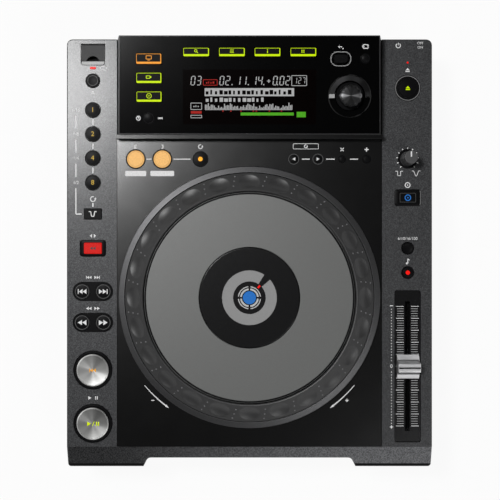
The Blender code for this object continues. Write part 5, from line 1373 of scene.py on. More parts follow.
class PLAYER_OT_left_panel(bpy.types.Operator):
    """Make the left panel's buttons and their signs, and print the lines and signs by them"""

    bl_idname = "player.left_panel"
    bl_label = "Left panel"

    FRACTIONS = ("1/16", "1/8", "1/4", "1/2")
    FRACTION_SIZE, NUMERAL_SIZE = 0.0038, 0.0056
    SEARCH_SIGN, BEAT_SIGN, DIRECTION_SIGN = 0.0074, 0.0066, 0.0048
    SEARCH_SIGNS = ("skip_back", "skip_on", "rewind", "wind")
    STOP_RING = 0.0041
    PILL_REACH = 0.0017
    DIRECTION_FRAME = (0.0221, 0.0141)
    COLUMN_OFFSET = 0.0142  # of the column of fractions, left of the buttons
    LINE_GAP = 0.0022  # from a button to a line's end
    FRACTION_GAP = 0.0046
    BEAT_LINE = (0.0060, 0.0092)  # over the beat button
    LAMP, LAMP_HEIGHT, LAMP_OFFSET = (0.0048, 0.0019, 0.0003), 0.0003, (0, 0.0107)
    BESIDE = (  # button, sign, offset, size
        ("beat_select_button", "loop", (0, 0.0125), 0.0050),
        ("usb_stop_button", "eject", (0, -0.0095), 0.0032),
        ("usb_stop_button", "stick", (0.0090, 0.0107), 0.0056),
        ("direction_button", "swap", (0, 0.0104), 0.0052),
        ("play_button", "play", (-0.0026, 0.0212), 0.0036),
        ("play_button", "pause", (0.0030, 0.0212), 0.0036),
    )
    PAIR_OFFSET, PAIR_RISE, PAIR_SIZE = 0.0035, 0.0117, 0.0046  # signs over a pair of buttons

    def execute(self, context):
        amber = lit("amber_numeral", tone("amber"))
        for node in LOOP_BUTTONS:
            at = make_round(node, -0.0003)
            numeral = at.marks(SIGN_DEPTH).number(node[-1], at.middle, self.NUMERAL_SIZE)
            numeral.make(f"{node}_numeral", amber, node)
        at = make_round("usb_stop_button", 0.0003)
        ring = at.marks(0.0003).ring(self.STOP_RING, at.middle)
        ring.make("usb_stop_ring", faint(), "usb_stop_button")
        bezels("left_bezels", LOOP_BUTTONS + ("usb_stop_button",), PANEL_LEVEL)
        marks = Marks(PANEL_LEVEL)
        for nodes, signs in ((TRACK_BUTTONS, self.SEARCH_SIGNS[:2]), (SEARCH_BUTTONS, self.SEARCH_SIGNS[2:])):
            places = [self.search(node, sign) for node, sign in zip(nodes, signs)]
            self.pill(f"{nodes[0]}_pill", *places)
            middle = (places[0].middle + places[1].middle) / 2
            for sign, offset in zip(signs, (-self.PAIR_OFFSET, self.PAIR_OFFSET)):
                marks.sign(sign, middle + [offset, self.PAIR_RISE], self.PAIR_SIZE)
        beat = make_key("beat_select_button")
        rim = Marks(beat.top).sign("steps", beat.middle, self.BEAT_SIGN)
        rim.make("beat_select_sign", white(), "beat_select_button")
        rounded_bezel("direction_bezel", "direction_button", *self.DIRECTION_FRAME)
        at = make_key("direction_button", finish=lit("direction_red", shade(tone("red"), 0.85)))
        sign = at.marks().sign("rewind", at.middle, self.DIRECTION_SIGN)
        sign.make("direction_sign", satin("sign_dark", (0.03, 0.0, 0.0), 0.5), "direction_button")
        self.lines(marks, beat)
        marks.signs(self.BESIDE).make("left_print", white(), slot="graphite_case")
        lamp = Marks(PANEL_LEVEL, height=self.LAMP_HEIGHT)
        lamp.fill(box_loop(*self.LAMP) + Seat("usb_stop_button").middle + self.LAMP_OFFSET)
        lamp.make("usb_lamp", red_lamp(), slot="red_light")
        return {"FINISHED"}

    def search(self, node, sign):
        """A round button with its sign and a faint ring round it, a painted highlight on the cap's rim."""
        at = make_round(node, -0.0003)
        mark = at.marks(SIGN_DEPTH).sign(sign, at.middle, self.SEARCH_SIGN)
        mark.make(f"{node}_sign", white(), node)
        # Painted highlight: a faint light ring along the cap's rim.
        ring = at.marks(0.0002, drop=0.0002).ring(at.radius - 0.0007, at.middle)
        ring.make(f"{node}_ring", faint(), node)
        return at

    def pill(self, name, one, two):
        """The dark pill round a pair of buttons: a stadium plate with two round holes."""
        reach = one.radius + self.PILL_REACH
        middle = (one.middle + two.middle) / 2
        outline = box_loop(two.x - one.x + 2 * reach, 2 * reach, reach * 0.999, 16) + middle
        holes = [round_loop(at.radius + HOLE_GAP / 2)[::-1] + at.middle for at in (one, two)]
        plate = curve_shape([outline] + holes, PANEL_LEVEL - MARK_DEPTH, PANEL_LEVEL + sizes().bezel_height)
        make(name, plate, button_black())

    def lines(self, marks, beat):
        """The fractions beside the loop buttons, and the lines that join them and the buttons down to the
        beat key."""
        places = [Seat(node) for node in LOOP_BUTTONS]
        spine, column = places[0].x, places[0].x - self.COLUMN_OFFSET
        reach, gap = places[0].radius + self.LINE_GAP, self.FRACTION_GAP
        for one, two in zip(places, places[1:]):
            marks.line([(spine, one.y - reach), (spine, two.y + reach)])
            marks.line([(column, one.y - gap), (column, two.y + gap)])
        for at, words in zip(places, self.FRACTIONS):
            marks.number(words, (column, at.y), self.FRACTION_SIZE)
        last = (beat.x - beat.radius - self.LINE_GAP, beat.y)
        marks.line(even_path([(column, places[-1].y - gap), (column, beat.y), last]))
        marks.line([(spine, beat.y + rise) for rise in self.BEAT_LINE[::-1]])


class PLAYER_OT_transport(bpy.types.Operator):
    """Make the cue and play buttons with their turned metal caps"""

    bl_idname = "player.transport"
    bl_label = "Cue and play"

    COLLAR = 0.0029  # its width round the cap
    RIM_RISE = 0.0008  # over the panel
    DISH = 0.0005
    SIGN_HEIGHT = 0.0003
    SIGN, CUE_SIGN = 0.0042, 0.0056

    def execute(self, context):
        for node in ("cue_button", "play_button"):
            at = Seat(node)
            full, cap, rim = at.radius, at.radius - self.COLLAR, PANEL_LEVEL + self.RIM_RISE
            inner, ledge = cap - 0.001, rim - 0.0006
            profile = [(inner, ledge), (cap + 0.0004, ledge), (cap + 0.0007, rim), (full - 0.0006, rim),
                       (full, rim - 0.0004), (full, at.seat), (at.reach, at.seat), (at.reach, at.foot),
                       (inner, at.foot)]
            collar = lathe(softened_ring(profile, 0.0003, FEW_STEPS), ring=True)
            at.make(f"{node}_collar", collar, button_black(), node)
            share = np.linspace(0.01, 1, 12)
            crown = np.column_stack([share * (cap - 0.0009), at.top - self.DISH * (1 - share ** 2)])
            base = at.foot + 0.0004
            side = [(cap, at.top - 0.0007), (cap, base), (cap * 0.01, base)]
            metal_cap = lathe(np.concatenate([crown, side]))
            # Painted highlights: the cap's lighter sectors come from spun_metal.
            spun = spun_metal(f"{node}_metal", at.x, at.y, tone("metal"))
            at.make(f"{node}_cap", metal_cap, spun, on=node, slot="spun_metal")
        at = Seat("play_button")
        sign = at.marks(drop=self.DISH, height=self.SIGN_HEIGHT)
        sign.sign("play", at.middle + [-0.0030, 0], self.SIGN)
        sign.sign("pause", at.middle + [0.0042, 0], self.SIGN)
        sign.line(at.middle + [(-0.0002, -0.0019), (0.0014, 0.0019)], HAIRLINE)
        sign.make("play_sign", lit("play_green", (0.62, 0.75, 0.0), 0.9), "play_button", "spun_metal")
        at = Seat("cue_button")
        sign = at.marks(drop=self.DISH, height=self.SIGN_HEIGHT)
        sign.sign("skip_back", at.middle, self.CUE_SIGN)
        sign.make("cue_sign", lit("cue_orange", (0.75, 0.33, 0.03), 0.9), "cue_button", "spun_metal")
        return {"FINISHED"}


class PLAYER_OT_deck_buttons(bpy.types.Operator):
    """Make the row of buttons on the deck, and print the deck's lines, label boxes and turning arrows"""

    bl_idname = "player.deck_buttons"
    bl_label = "Deck buttons"

    RIM_INSET, RIM_WIDTH = 0.0009, 0.0008
    CALL_SIGN, CALL_RING = 0.0042, 0.0008
    LAMP_RADIUS = 0.0019
    BEZEL_WIDTH, LOOP_BEZEL_WIDTH = 0.0005, 0.0011
    BESIDE = (  # button, sign, offset, size
        ("loop_in_button", "bracket_in", (0, 0.0104), 0.0036),
        ("loop_out_button", "bracket_out", (0, 0.0104), 0.0036),
        ("reloop_button", "loop", (0, 0.0104), 0.0040),
        ("delete_button", "cross", (0, 0.0080), 0.0038),
        ("memory_button", "plus", (0, 0.0080), 0.0038),
    )
    RULES = (("loop_in_button", "loop_out_button", 0.0018), ("loop_out_button", "reloop_button", 0.0024),
             (*CALL_BUTTONS, 0.0035), ("call_forward_button", "delete_button", 0.0035),
             ("delete_button", "memory_button", 0.0040))  # two buttons, and the gap between each and the line
    LABELS = (("loop_in_button", 0.0176), ("loop_out_button", 0.0199))
    LABEL_DROP, LABEL_DEPTH, LABEL_CORNER = 0.0120, 0.0044, 0.0010
    CALL_BOX = ((0.0215, 0.0048, 0.0010), (0.0207, 0.0040, 0.0007))
    CALL_BOX_RISE, CALL_BOX_SIGN = 0.0107, 0.0030
    ARROW_RADIUS = 0.1145
    ARROW_ANGLES = (130, 142.3)  # degrees from the back
    ARROW_WIDTHS = (0.0005, 0.0011)
    ARROW_HEAD = (0.0010, 0.0036)  # half its width, and its length
    ARROW_SIGNS = (("minus", (-0.0806, -0.0863)), ("plus", (0.0815, -0.0863)))
    ARROW_SIGN_SIZE = 0.0030

    def execute(self, context):
        orange = tone("orange")
        for node in LOOP_ENDS:
            at = make_round(node, finish=lit("loop_orange", orange, 0.7, 0.7))
            rim = at.marks().ring(at.radius - self.RIM_INSET, at.middle, self.RIM_WIDTH)
            rim.make(f"{node}_rim", lit("loop_rim", shade(orange, 0.75)), node, "orange_light")
        at = {node: make_round(node, -0.0002) for node in DECK_ROUND}
        rings = Marks(DECK_LEVEL, height=sizes().bezel_height + MARK_HEIGHT)
        for node, sign in zip(CALL_BUTTONS, ("left", "right")):
            arrow = Marks(at[node].top, depth=SIGN_DEPTH).sign(sign, at[node].middle, self.CALL_SIGN)
            arrow.make(f"{node}_sign", white(), node)
            rings.ring(at[node].radius + self.CALL_RING, at[node].middle)
        rings.make("call_rings", faint())
        reloop = at["reloop_button"]
        lamp = Marks(reloop.top, depth=SIGN_DEPTH).disc(self.LAMP_RADIUS, reloop.middle)
        lamp_orange = lit("reloop_orange", (0.95, 0.42, 0.03), 1.0)
        lamp.make("reloop_lamp", lamp_orange, "reloop_button", "orange_light")
        bezels("deck_bezels", DECK_ROUND, DECK_LEVEL, width=self.BEZEL_WIDTH)
        bezels("loop_bezels", LOOP_ENDS, DECK_LEVEL, width=self.LOOP_BEZEL_WIDTH)
        self.prints()
        return {"FINISHED"}

    def prints(self):
        marks = Marks(DECK_LEVEL)
        for *nodes, gap in self.RULES:
            left, right = map(Seat, nodes)
            ends = left.x + left.radius + gap, right.x - right.radius - gap
            marks.line([(x, left.y) for x in ends], THIN_LINE)
        for node, width in self.LABELS:
            label = box_loop(width, self.LABEL_DEPTH, self.LABEL_CORNER)
            marks.fill(label + Seat(node).middle - [0, self.LABEL_DROP])
        marks.signs(self.BESIDE)
        back, on = map(Seat, CALL_BUTTONS)
        middle = (back.middle + on.middle) / 2 + [0, self.CALL_BOX_RISE]
        marks.frame(*(box_loop(*box) + middle for box in self.CALL_BOX))
        marks.sign("loop", middle, self.CALL_BOX_SIGN)
        for side in (-1, 1):
            self.arrow(marks, side)
        for sign, (x, y) in self.ARROW_SIGNS:
            marks.sign(sign, (x, JOG_MIDDLE[1] + y), self.ARROW_SIGN_SIZE)
        marks.make("deck_print", white(), slot="gloss_black")

    def arrow(self, marks, side):
        """A tapered arc with an arrow head beside the jog wheel."""
        first, last = self.ARROW_ANGLES
        path = arc(self.ARROW_RADIUS, 90 + side * first, 90 + side * last, 24) * [-1, 1] + JOG_MIDDLE
        marks.line(path, np.linspace(*self.ARROW_WIDTHS, 24))
        ahead = (path[-1] - path[-2]) / np.linalg.norm(path[-1] - path[-2])
        half, length = self.ARROW_HEAD
        left = np.array([-ahead[1], ahead[0]]) * half
        marks.fill([path[-1] + left, path[-1] - left, path[-1] + ahead * length])


class PLAYER_OT_right_panel(bpy.types.Operator):
    """Make the right panel's buttons and its tall knob, and print the scales and signs by them"""

    bl_idname = "player.right_panel"
    bl_label = "Right panel"

    EJECT_SIGN, JOG_SIGN = 0.0040, 0.0052
    EJECT_SEAT, EJECT_RING, EJECT_RING_WIDTH = 0.0110, 0.0101, 0.0006
    JOG_FRAME = (0.0224, 0.0141)
    JOG_LINE_INSET, JOG_LINE_CORNER = 0.0016, 0.0006
    GLEAM = (0.0214, 0.0131, 0.0022)
    LAMP_RADIUS, BEZEL_WIDTH = 0.0018, 0.0008
    KNOB_SEAT, KNOB_LINE = 0.0021, 0.0011
    KNOB_LIFT = 0.0004  # over the panel
    SHAFT, SHAFT_FOOT, SHAFT_DROP = 0.003, 0.0045, 0.0031
    SCALE_RAYS, SCALE_TURN, SCALE_RADII = 11, 140, (0.0079, 0.0094)
    CURVE_SIGNS = (("step_pair", (-0.0071, -0.0122), 0.0062), ("slope_pair", (0.0071, -0.0122), 0.0070))
    WORDS = (("ON", 0.0340), ("OFF", 0.0375))
    WORDS_OFFSET, WORDS_SIZE = 0.0105, 0.0030
    RANGES, RANGES_RISE, RANGES_SIZE = "6/10/16/100", 0.0080, 0.0034
    STANDBY_RADIUS, STANDBY_HEIGHT, STANDBY_OFFSET = 0.0008, 0.0003, (0, 0.0213)
    BESIDE = (  # button, sign, offset, size
        ("eject_button", "power", (-0.0078, 0.0355), 0.0048),
        ("eject_button", "eject", (0, 0.0152), 0.0040),
        ("jog_mode_button", "disc", (0, 0.0106), 0.0046),
        ("master_tempo_button", "note", (0, 0.0092), 0.0052),
    )
    DOTS, DOT_SIZE, DOT_GAP = 43, 0.00035, 0.0025
    DOT_COLUMN = 0.0010  # left of the slider's plate
    END_OFFSET, END_SIZE, ZERO_SIZE = 0.0006, 0.0030, 0.0042

    def execute(self, context):
        self.eject()
        self.jog_mode()
        make_round("tempo_range_button", 0.0004)
        at = make_round("master_tempo_button", -0.0003)
        lamp = at.marks(SIGN_DEPTH).disc(self.LAMP_RADIUS, at.middle)
        lamp.make("master_tempo_lamp", red_lamp(), "master_tempo_button", "red_light")
        small = ("tempo_range_button", "master_tempo_button")
        bezels("right_bezels", small, PANEL_LEVEL, width=self.BEZEL_WIDTH)
        self.knob(Seat("speed_adjust_knob"))
        marks = Marks(PANEL_LEVEL).signs(self.BESIDE)
        self.scales(marks)
        marks.make("right_print", white(), slot="graphite_case")
        lamp = Marks(PANEL_LEVEL, height=self.STANDBY_HEIGHT)
        lamp.disc(self.STANDBY_RADIUS, Seat("eject_button").middle + self.STANDBY_OFFSET, 24)
        lamp.make("standby_lamp", red_lamp(), slot="red_light")
        return {"FINISHED"}

    def eject(self):
        """The eject button, the wide dark seat round it and a lighter ring on that."""
        at = make_round("eject_button", -0.0003)
        sign = at.marks(SIGN_DEPTH).sign("eject", at.middle, self.EJECT_SIGN)
        sign.make("eject_sign", lit("eject_green", tone("yellow_green"), 1.0), "eject_button")
        low, top = PANEL_LEVEL - MARK_DEPTH, PANEL_LEVEL + sizes().bezel_height
        inner, outer = at.radius + HOLE_GAP / 2, self.EJECT_SEAT
        profile = [(inner, top), (outer - 0.0008, top), (outer, PANEL_LEVEL), (outer, low), (inner, low)]
        at.make("eject_bezel", lathe(profile, ring=True), button_black())
        ring = Marks(top).ring(self.EJECT_RING, at.middle, self.EJECT_RING_WIDTH)
        ring.make("eject_ring", ink("grey_print", 0.22))

    def jog_mode(self):
        """The jog mode key with its frame, and a painted highlight along the frame's right side."""
        rounded_bezel("jog_mode_bezel", "jog_mode_button", *self.JOG_FRAME)
        at = make_key("jog_mode_button")
        inset = self.JOG_LINE_INSET
        outline = box_loop(at.width - inset, at.depth - inset, self.JOG_LINE_CORNER) + at.middle
        line = at.marks().line(outline, HAIRLINE, closed=True)
        line.make("jog_mode_outline", ink("dim_print", 0.05), "jog_mode_button")
        loop, half = box_loop(*self.GLEAM) + at.middle, (ARC_STEPS + 1) // 2
        right_side = np.concatenate([loop[-half - 1:], loop[:half + 1]])
        # Painted highlight: a grey line along the frame's right side.
        gleam = Marks(PANEL_LEVEL + sizes().bezel_height).line(right_side, HAIRLINE)
        gleam.make("jog_mode_gleam", ink("grey_print", 0.22))
        sign = at.marks().sign("disc", at.middle, self.JOG_SIGN)
        sign.make("jog_mode_sign", lit("jog_blue", tone("blue"), 1.0), "jog_mode_button")

    def knob(self, at):
        """The tall speed adjust knob on its shaft, with a white line on its top, and a dark ring round its foot
        as painted shadow.
        """
        radius, middle, top = at.reach, at.reach * 0.02, at.top
        lift, under = PANEL_LEVEL + self.KNOB_LIFT, PANEL_LEVEL - self.SHAFT_DROP
        profile = [(middle, top), (radius - 0.0010, top), (radius - 0.0006, top - 0.0004), (radius, lift),
                   (self.SHAFT, lift), (self.SHAFT, under), (self.SHAFT_FOOT, under),
                   (self.SHAFT_FOOT, at.foot), (middle, at.foot)]
        knob = lathe(softened(profile, 0.0002, FEW_STEPS), SMALL_STEPS)
        grey = satin("knob_grey", (0.055, 0.055, 0.056), 0.45)
        at.make("speed_knob_cap", knob, grey, "speed_adjust_knob")
        # Painted shadow: a dark ring round the knob's foot in place of the shadow that the tall knob casts.
        well = bezel(radius, self.KNOB_SEAT, PANEL_LEVEL, MARK_HEIGHT)
        at.make("speed_knob_seat", well, button_black())
        line = Marks(top).line(at.middle + [(0, radius * 0.05), (0, radius * 0.78)], self.KNOB_LINE)
        line.make("speed_knob_line", white(), "speed_adjust_knob")

    def scales(self, marks):
        """The rays round the knob, the power switch's and the tempo range's words, and the dotted line
        beside the slider, from minus to plus with a nought in the middle."""
        knob = Seat("speed_adjust_knob").middle
        for degrees in np.linspace(-self.SCALE_TURN, self.SCALE_TURN, self.SCALE_RAYS) + 90:
            ray = np.array([math.cos(math.radians(degrees)), math.sin(math.radians(degrees))])
            marks.line(knob + np.outer(self.SCALE_RADII, ray), THIN_LINE)
        for sign, offset, size in self.CURVE_SIGNS:
            marks.sign(sign, knob + offset, size, HAIRLINE)
        eject, tempo = Seat("eject_button").middle, Seat("tempo_range_button").middle
        for words, rise in self.WORDS:
            marks.number(words, eject + [self.WORDS_OFFSET, rise], self.WORDS_SIZE)
        marks.number(self.RANGES, tempo + [0, self.RANGES_RISE], self.RANGES_SIZE)
        column, y = extent("tempo_fader_unit")[0][0] - self.DOT_COLUMN, Seat("tempo_slider_knob").y
        first, last = joint("tempo_slide")["range_m"]
        for place in np.linspace(first, last, self.DOTS)[1:-1]:
            if abs(place) > self.DOT_GAP:
                marks.fill(bar(column, y + place, self.DOT_SIZE, self.DOT_SIZE))
        marks.sign("plus", (column, y + first - self.END_OFFSET), self.END_SIZE)
        marks.sign("minus", (column, y + last + self.END_OFFSET), self.END_SIZE)
        marks.number("0", (column, y), self.ZERO_SIZE)


class PLAYER_OT_tempo_slider(bpy.types.Operator):
    """Make the tempo slider's silver knob, its plate's scale and finish its body"""

    bl_idname = "player.tempo_slider"
    bl_label = "Tempo slider"

    LIFT = 0.0003  # of the knob over the plate
    WAIST, RIDGE = 0.0055, 0.0035  # half the knob's length there
    SKIRT_SHARE, WAIST_SHARE = 0.24, 0.45  # of its height
    END_SHRINK, END_LENGTH = 0.97, 0.0003
    STEM = (0.0015, 0.003)  # half its width and length
    GROOVE_WIDTH = 0.0013
    LINE_INSET = 0.0002
    STEPS = 50  # on the scale, every fifth of them longer
    SCALE_START, SHORT_REACH, LONG_REACH = 0.0031, 0.0086, 0.0095

    def execute(self, context):
        dress("tempo_fader_unit", satin("fader_plate", tone("satin_black"), 0.24, 0.35))
        at = Seat("tempo_slider_knob")
        low, high = extent("tempo_slider_knob")
        across, half = at.reach, (high[1] - low[1]) / 2
        level = extent("tempo_fader_unit")[1][2]
        foot = level + self.LIFT
        skirt, waist = foot + (at.top - foot) * self.SKIRT_SHARE, foot + (at.top - foot) * self.WAIST_SHARE
        back = np.array([(half, foot), (half, skirt), (self.WAIST, waist), (self.RIDGE, at.top)])
        section = softened_ring(np.concatenate([back, back[::-1] * [-1, 1]]), 0.0007, 4)
        middle = section.mean(axis=0)
        shrink = np.reshape([self.END_SHRINK, 1, 1, self.END_SHRINK], (-1, 1, 1))
        rows = middle + (section - middle) * shrink
        sides = np.array([-across, self.END_LENGTH - across, across - self.END_LENGTH, across])
        sides = np.broadcast_to(sides[:, None, None], rows.shape[:2] + (1,))
        body = grid_shape(np.concatenate([sides, rows], axis=-1)[:, ::-1])
        shape = joined(body, prism(bar(0, 0, *self.STEM), at.foot, skirt))
        silver = silver_paint(tone("silver"))
        at.make("tempo_slider_cap", shape, silver, "tempo_slider_knob")
        reach = across - self.LINE_INSET
        line = at.middle + [(-reach, 0), (reach, 0)]
        groove = at.marks().line(line, self.GROOVE_WIDTH)
        groove.make("tempo_slider_line", button_black(), "tempo_slider_knob")
        # Painted shade: dark lines along the knob's creases at its waist.
        crease_shade, shift = Marks(waist), self.WAIST + self.LINE_INSET
        crease_shade.line(line - [0, shift], THIN_LINE).line(line + [0, shift], THIN_LINE)
        crease_shade.make("tempo_slider_edges", button_black(), "tempo_slider_knob")
        self.scale(at, level)
        return {"FINISHED"}

    def scale(self, at, level):
        """Short lines on both sides of the slot, every fifth one longer and brighter."""
        bright, dim = Marks(level), Marks(level)
        for k, place in enumerate(np.linspace(*joint("tempo_slide")["range_m"], self.STEPS + 1)):
            marks, reach = (bright, self.LONG_REACH) if k % 5 == 0 else (dim, self.SHORT_REACH)
            for side in (-1, 1):
                marks.line(at.middle + [(side * self.SCALE_START, place), (side * reach, place)], HAIRLINE)
        bright.make("tempo_scale_long", ink("scale_bright", 0.85))
        dim.make("tempo_scale_short", ink("scale_dim", 0.42))


class PLAYER_OT_usb(bpy.types.Operator):
    """Finish the USB cover and its socket, add the socket's tongue and contacts, and make the cover's
    recess"""

    bl_idname = "player.usb"
    bl_label = "USB socket"

    RECESS_RUN, RECESS_DROP, RECESS_INSET = 0.0033, 0.0016, 0.0009
    COVER_GAP = 0.0003
    CORNER = 0.0021
    CORNER_REACH = 0.0002  # of its filling, past the recess

    def execute(self, context):
        dress("usb_cover", satin("cover_grey", (0.068, 0.068, 0.069), 0.42, 0.08))
        dress("usb_socket", satin("socket_black", (0.004, 0.004, 0.004), 0.5, 0.05))
        self.recess()
        opening = next(o for o in frame["record"]["physics"]["openings"] if o["name"] == "usb_port")
        low, high = np.array(opening["box_m"])
        place = (*(low + high)[:2] / 2, 0)
        width, depth = (high - low)[:2]
        tongue = prism(bar(0, depth * 0.18, width * 0.45, depth * 0.17), low[2] - 0.0003, high[2] - 0.004)
        make("usb_tongue", moved(tongue, place), tongue_white())
        shares = (-0.3, -0.1, 0.1, 0.3)
        bars = [bar(share * width, -depth * 0.02, width * 0.05, depth * 0.03) for share in shares]
        contacts = [prism(outline, low[2], high[2] - 0.005) for outline in bars]
        gold = metal("contact_gold", (0.8, 0.55, 0.2), 0.3)
        make("usb_contacts", moved(joined(*contacts), place), gold, slot="steel")
        return {"FINISHED"}

    def recess(self):
        """The slope of the finger recess before the cover, coloured pale as a painted highlight, the round corners
        that close it at the front, and the thin dark line along them."""
        low, high = extent("usb_cover")
        x, half = (low[0] + high[0]) / 2, (high[0] - low[0]) / 2 - self.RECESS_INSET
        back = low[1] - self.COVER_GAP
        front = back - self.RECESS_RUN
        top, bottom = PANEL_LEVEL + MARK_HEIGHT, PANEL_LEVEL - self.RECESS_DROP
        slope = [(front, top + MARK_HEIGHT), (back, bottom + 2 * MARK_HEIGHT), (back, bottom - MARK_HEIGHT),
                 (front, PANEL_LEVEL - MARK_HEIGHT)]
        # Painted highlight: the slope is coloured pale in place of the light that it catches.
        pale = satin("recess_silver", (0.70, 0.70, 0.70), 0.55, 0.4)
        make("usb_recess_face", extruded(slope, x - half, x + half), pale, slot="graphite_case")
        corner, reach = self.CORNER, self.CORNER_REACH
        bend = arc(corner, 180, 270, 9, (corner - half, front + corner))
        left = np.concatenate([bend, [[-half - reach, front - reach]]])
        loops = left, left[::-1] * [-1, 1]
        fills = [curve_shape([loop + [x, 0]], PANEL_LEVEL - MARK_DEPTH, top) for loop in loops]
        make("usb_recess_corners", joined(*fills), graphite(tone("graphite")), slot="graphite_case")
        path = np.concatenate([[[-half, back + self.COVER_GAP]], bend])
        path = np.concatenate([path, path[::-1] * [-1, 1]]) + [x, 0]
        Marks(top).line(path, HAIRLINE).make("usb_recess_line", button_black())


def tongue_white():
    return satin("tongue_white", (0.6, 0.6, 0.58), 0.5)


class PLAYER_OT_inside(bpy.types.Operator):
    """Finish the disc drive, the circuit board and the power button, and add the jacks' sleeves, pins and
    collars"""

    bl_idname = "player.inside"
    bl_label = "Drive and jacks"

    # The back's right, up and outward directions
    FROM_BEHIND = np.array([[-1.0, 0, 0], [0, 0, 1.0], [0, 1.0, 0]])
    BOARD_THICKNESS = 0.0016
    PHONO_PLACES = (-0.36, -0.23, -0.10)  # of the case's half width, as are the three below
    INLET_PLACE, USB_B_PLACE, CONTROL_PLACE = -0.66, 0.22, 0.42
    ROUND_HEIGHT, INLET_HEIGHT, USB_B_HEIGHT = 0.0050, 0.0095, 0.0056  # over the board
    WALL_DEPTH = 0.0080  # of the jacks' faces in the back wall
    PHONO = {"left": (0.75, 0.75, 0.73), "right": (0.55, 0.02, 0.02), "digital": (0.55, 0.16, 0.01)}
    INLET_PINS = ((-0.0070, -0.0015), (0, 0.0025), (0.0070, -0.0015))

    def execute(self, context):
        dress("drive_chassis", metal("drive_steel", (0.45, 0.45, 0.46), 0.35))
        dress("loading_roller", satin("roller_rubber", (0.02, 0.02, 0.02), 0.7))
        dress("spindle_hub", satin("hub_black", (0.015, 0.015, 0.015), 0.4))
        dress("pickup_sled", metal("sled_alloy", (0.5, 0.5, 0.5), 0.4))
        low, high = extent("main_board")
        self.top, reach = low[2] + self.BOARD_THICKNESS, high[1]
        dress("main_board", circuit((0.012, 0.07, 0.032), self.top + 0.0002))
        dress("power_button", black())
        steel = metal("jack_steel", (0.62, 0.62, 0.61), 0.25)
        sleeves = []
        for share, (name, colour) in zip(self.PHONO_PLACES, self.PHONO.items()):
            sleeves.append(self.tube(share, 0.0044, 0.0034, reach - 0.0072, reach + 0.0003))
            washer = self.tube(share, 0.0034, 0.0017, reach - 0.0002, reach + 0.0001)
            make(f"phono_washer_{name}", washer, satin(f"phono_{name}_plastic", colour, 0.4))
        make("phono_sleeves", joined(*sleeves), steel, slot="steel")
        wall = reach - self.WALL_DEPTH
        control = self.tube(self.CONTROL_PLACE, 0.0041, 0.0019, wall + 0.0010, wall + 0.0018)
        make("control_jack_ring", control, steel, slot="steel")
        self.inlet(wall, steel)
        self.usb_b(wall, steel)
        return {"FINISHED"}

    def placed(self, shape, share, height, side=0, rise=0):
        """A shape set into the back at a jack's place."""
        place = (side - share * CAD_BOX[1][0], self.top + height + rise, 0)
        return moved(shape, place, self.FROM_BEHIND)

    def tube(self, share, outer, inner, low, high):
        """A ring of metal or plastic with soft ends."""
        profile = [(inner, high), (outer, high), (outer, low), (inner, low)]
        ring = lathe(softened_ring(profile, 0.0002, FEW_STEPS), SMALL_STEPS, ring=True)
        return self.placed(ring, share, self.ROUND_HEIGHT)

    def inlet(self, wall, steel):
        """The mains inlet's rim and its three flat pins."""
        outer, inner = box_loop(0.0270, 0.0186, 0.0012), box_loop(0.0240, 0.0162, 0.0010)
        rim = frame_shape(outer, inner, wall, wall + 0.0006)
        place = self.INLET_PLACE, self.INLET_HEIGHT
        make("inlet_rim", self.placed(rim, *place), satin("inlet_black", (0.010, 0.010, 0.010), 0.45))
        profile = [(0.0003, wall - 0.0030), (0, wall - 0.0036), (0, wall - 0.0165)]
        pin = box_cap(0.0020, 0.0045, 0.0004, profile)
        pins = [self.placed(pin, *place, side, rise) for side, rise in self.INLET_PINS]
        make("inlet_pins", joined(*pins), steel, slot="steel")

    def usb_b(self, wall, steel):
        """The square USB socket's steel shell and its tongue."""
        outer, inner = box_loop(0.0110, 0.0100, 0.0008), box_loop(0.0084, 0.0078, 0.0006)
        shell = frame_shape(outer, inner, wall, wall + 0.0004)
        place = self.USB_B_PLACE, self.USB_B_HEIGHT
        make("usb_b_shell", self.placed(shell, *place), steel, slot="steel")
        profile = [(0.0003, wall - 0.0010), (0, wall - 0.0014), (0, wall - 0.0088)]
        tongue = box_cap(0.0052, 0.0030, 0.0003, profile)
        make("usb_b_tongue", self.placed(tongue, *place), tongue_white())


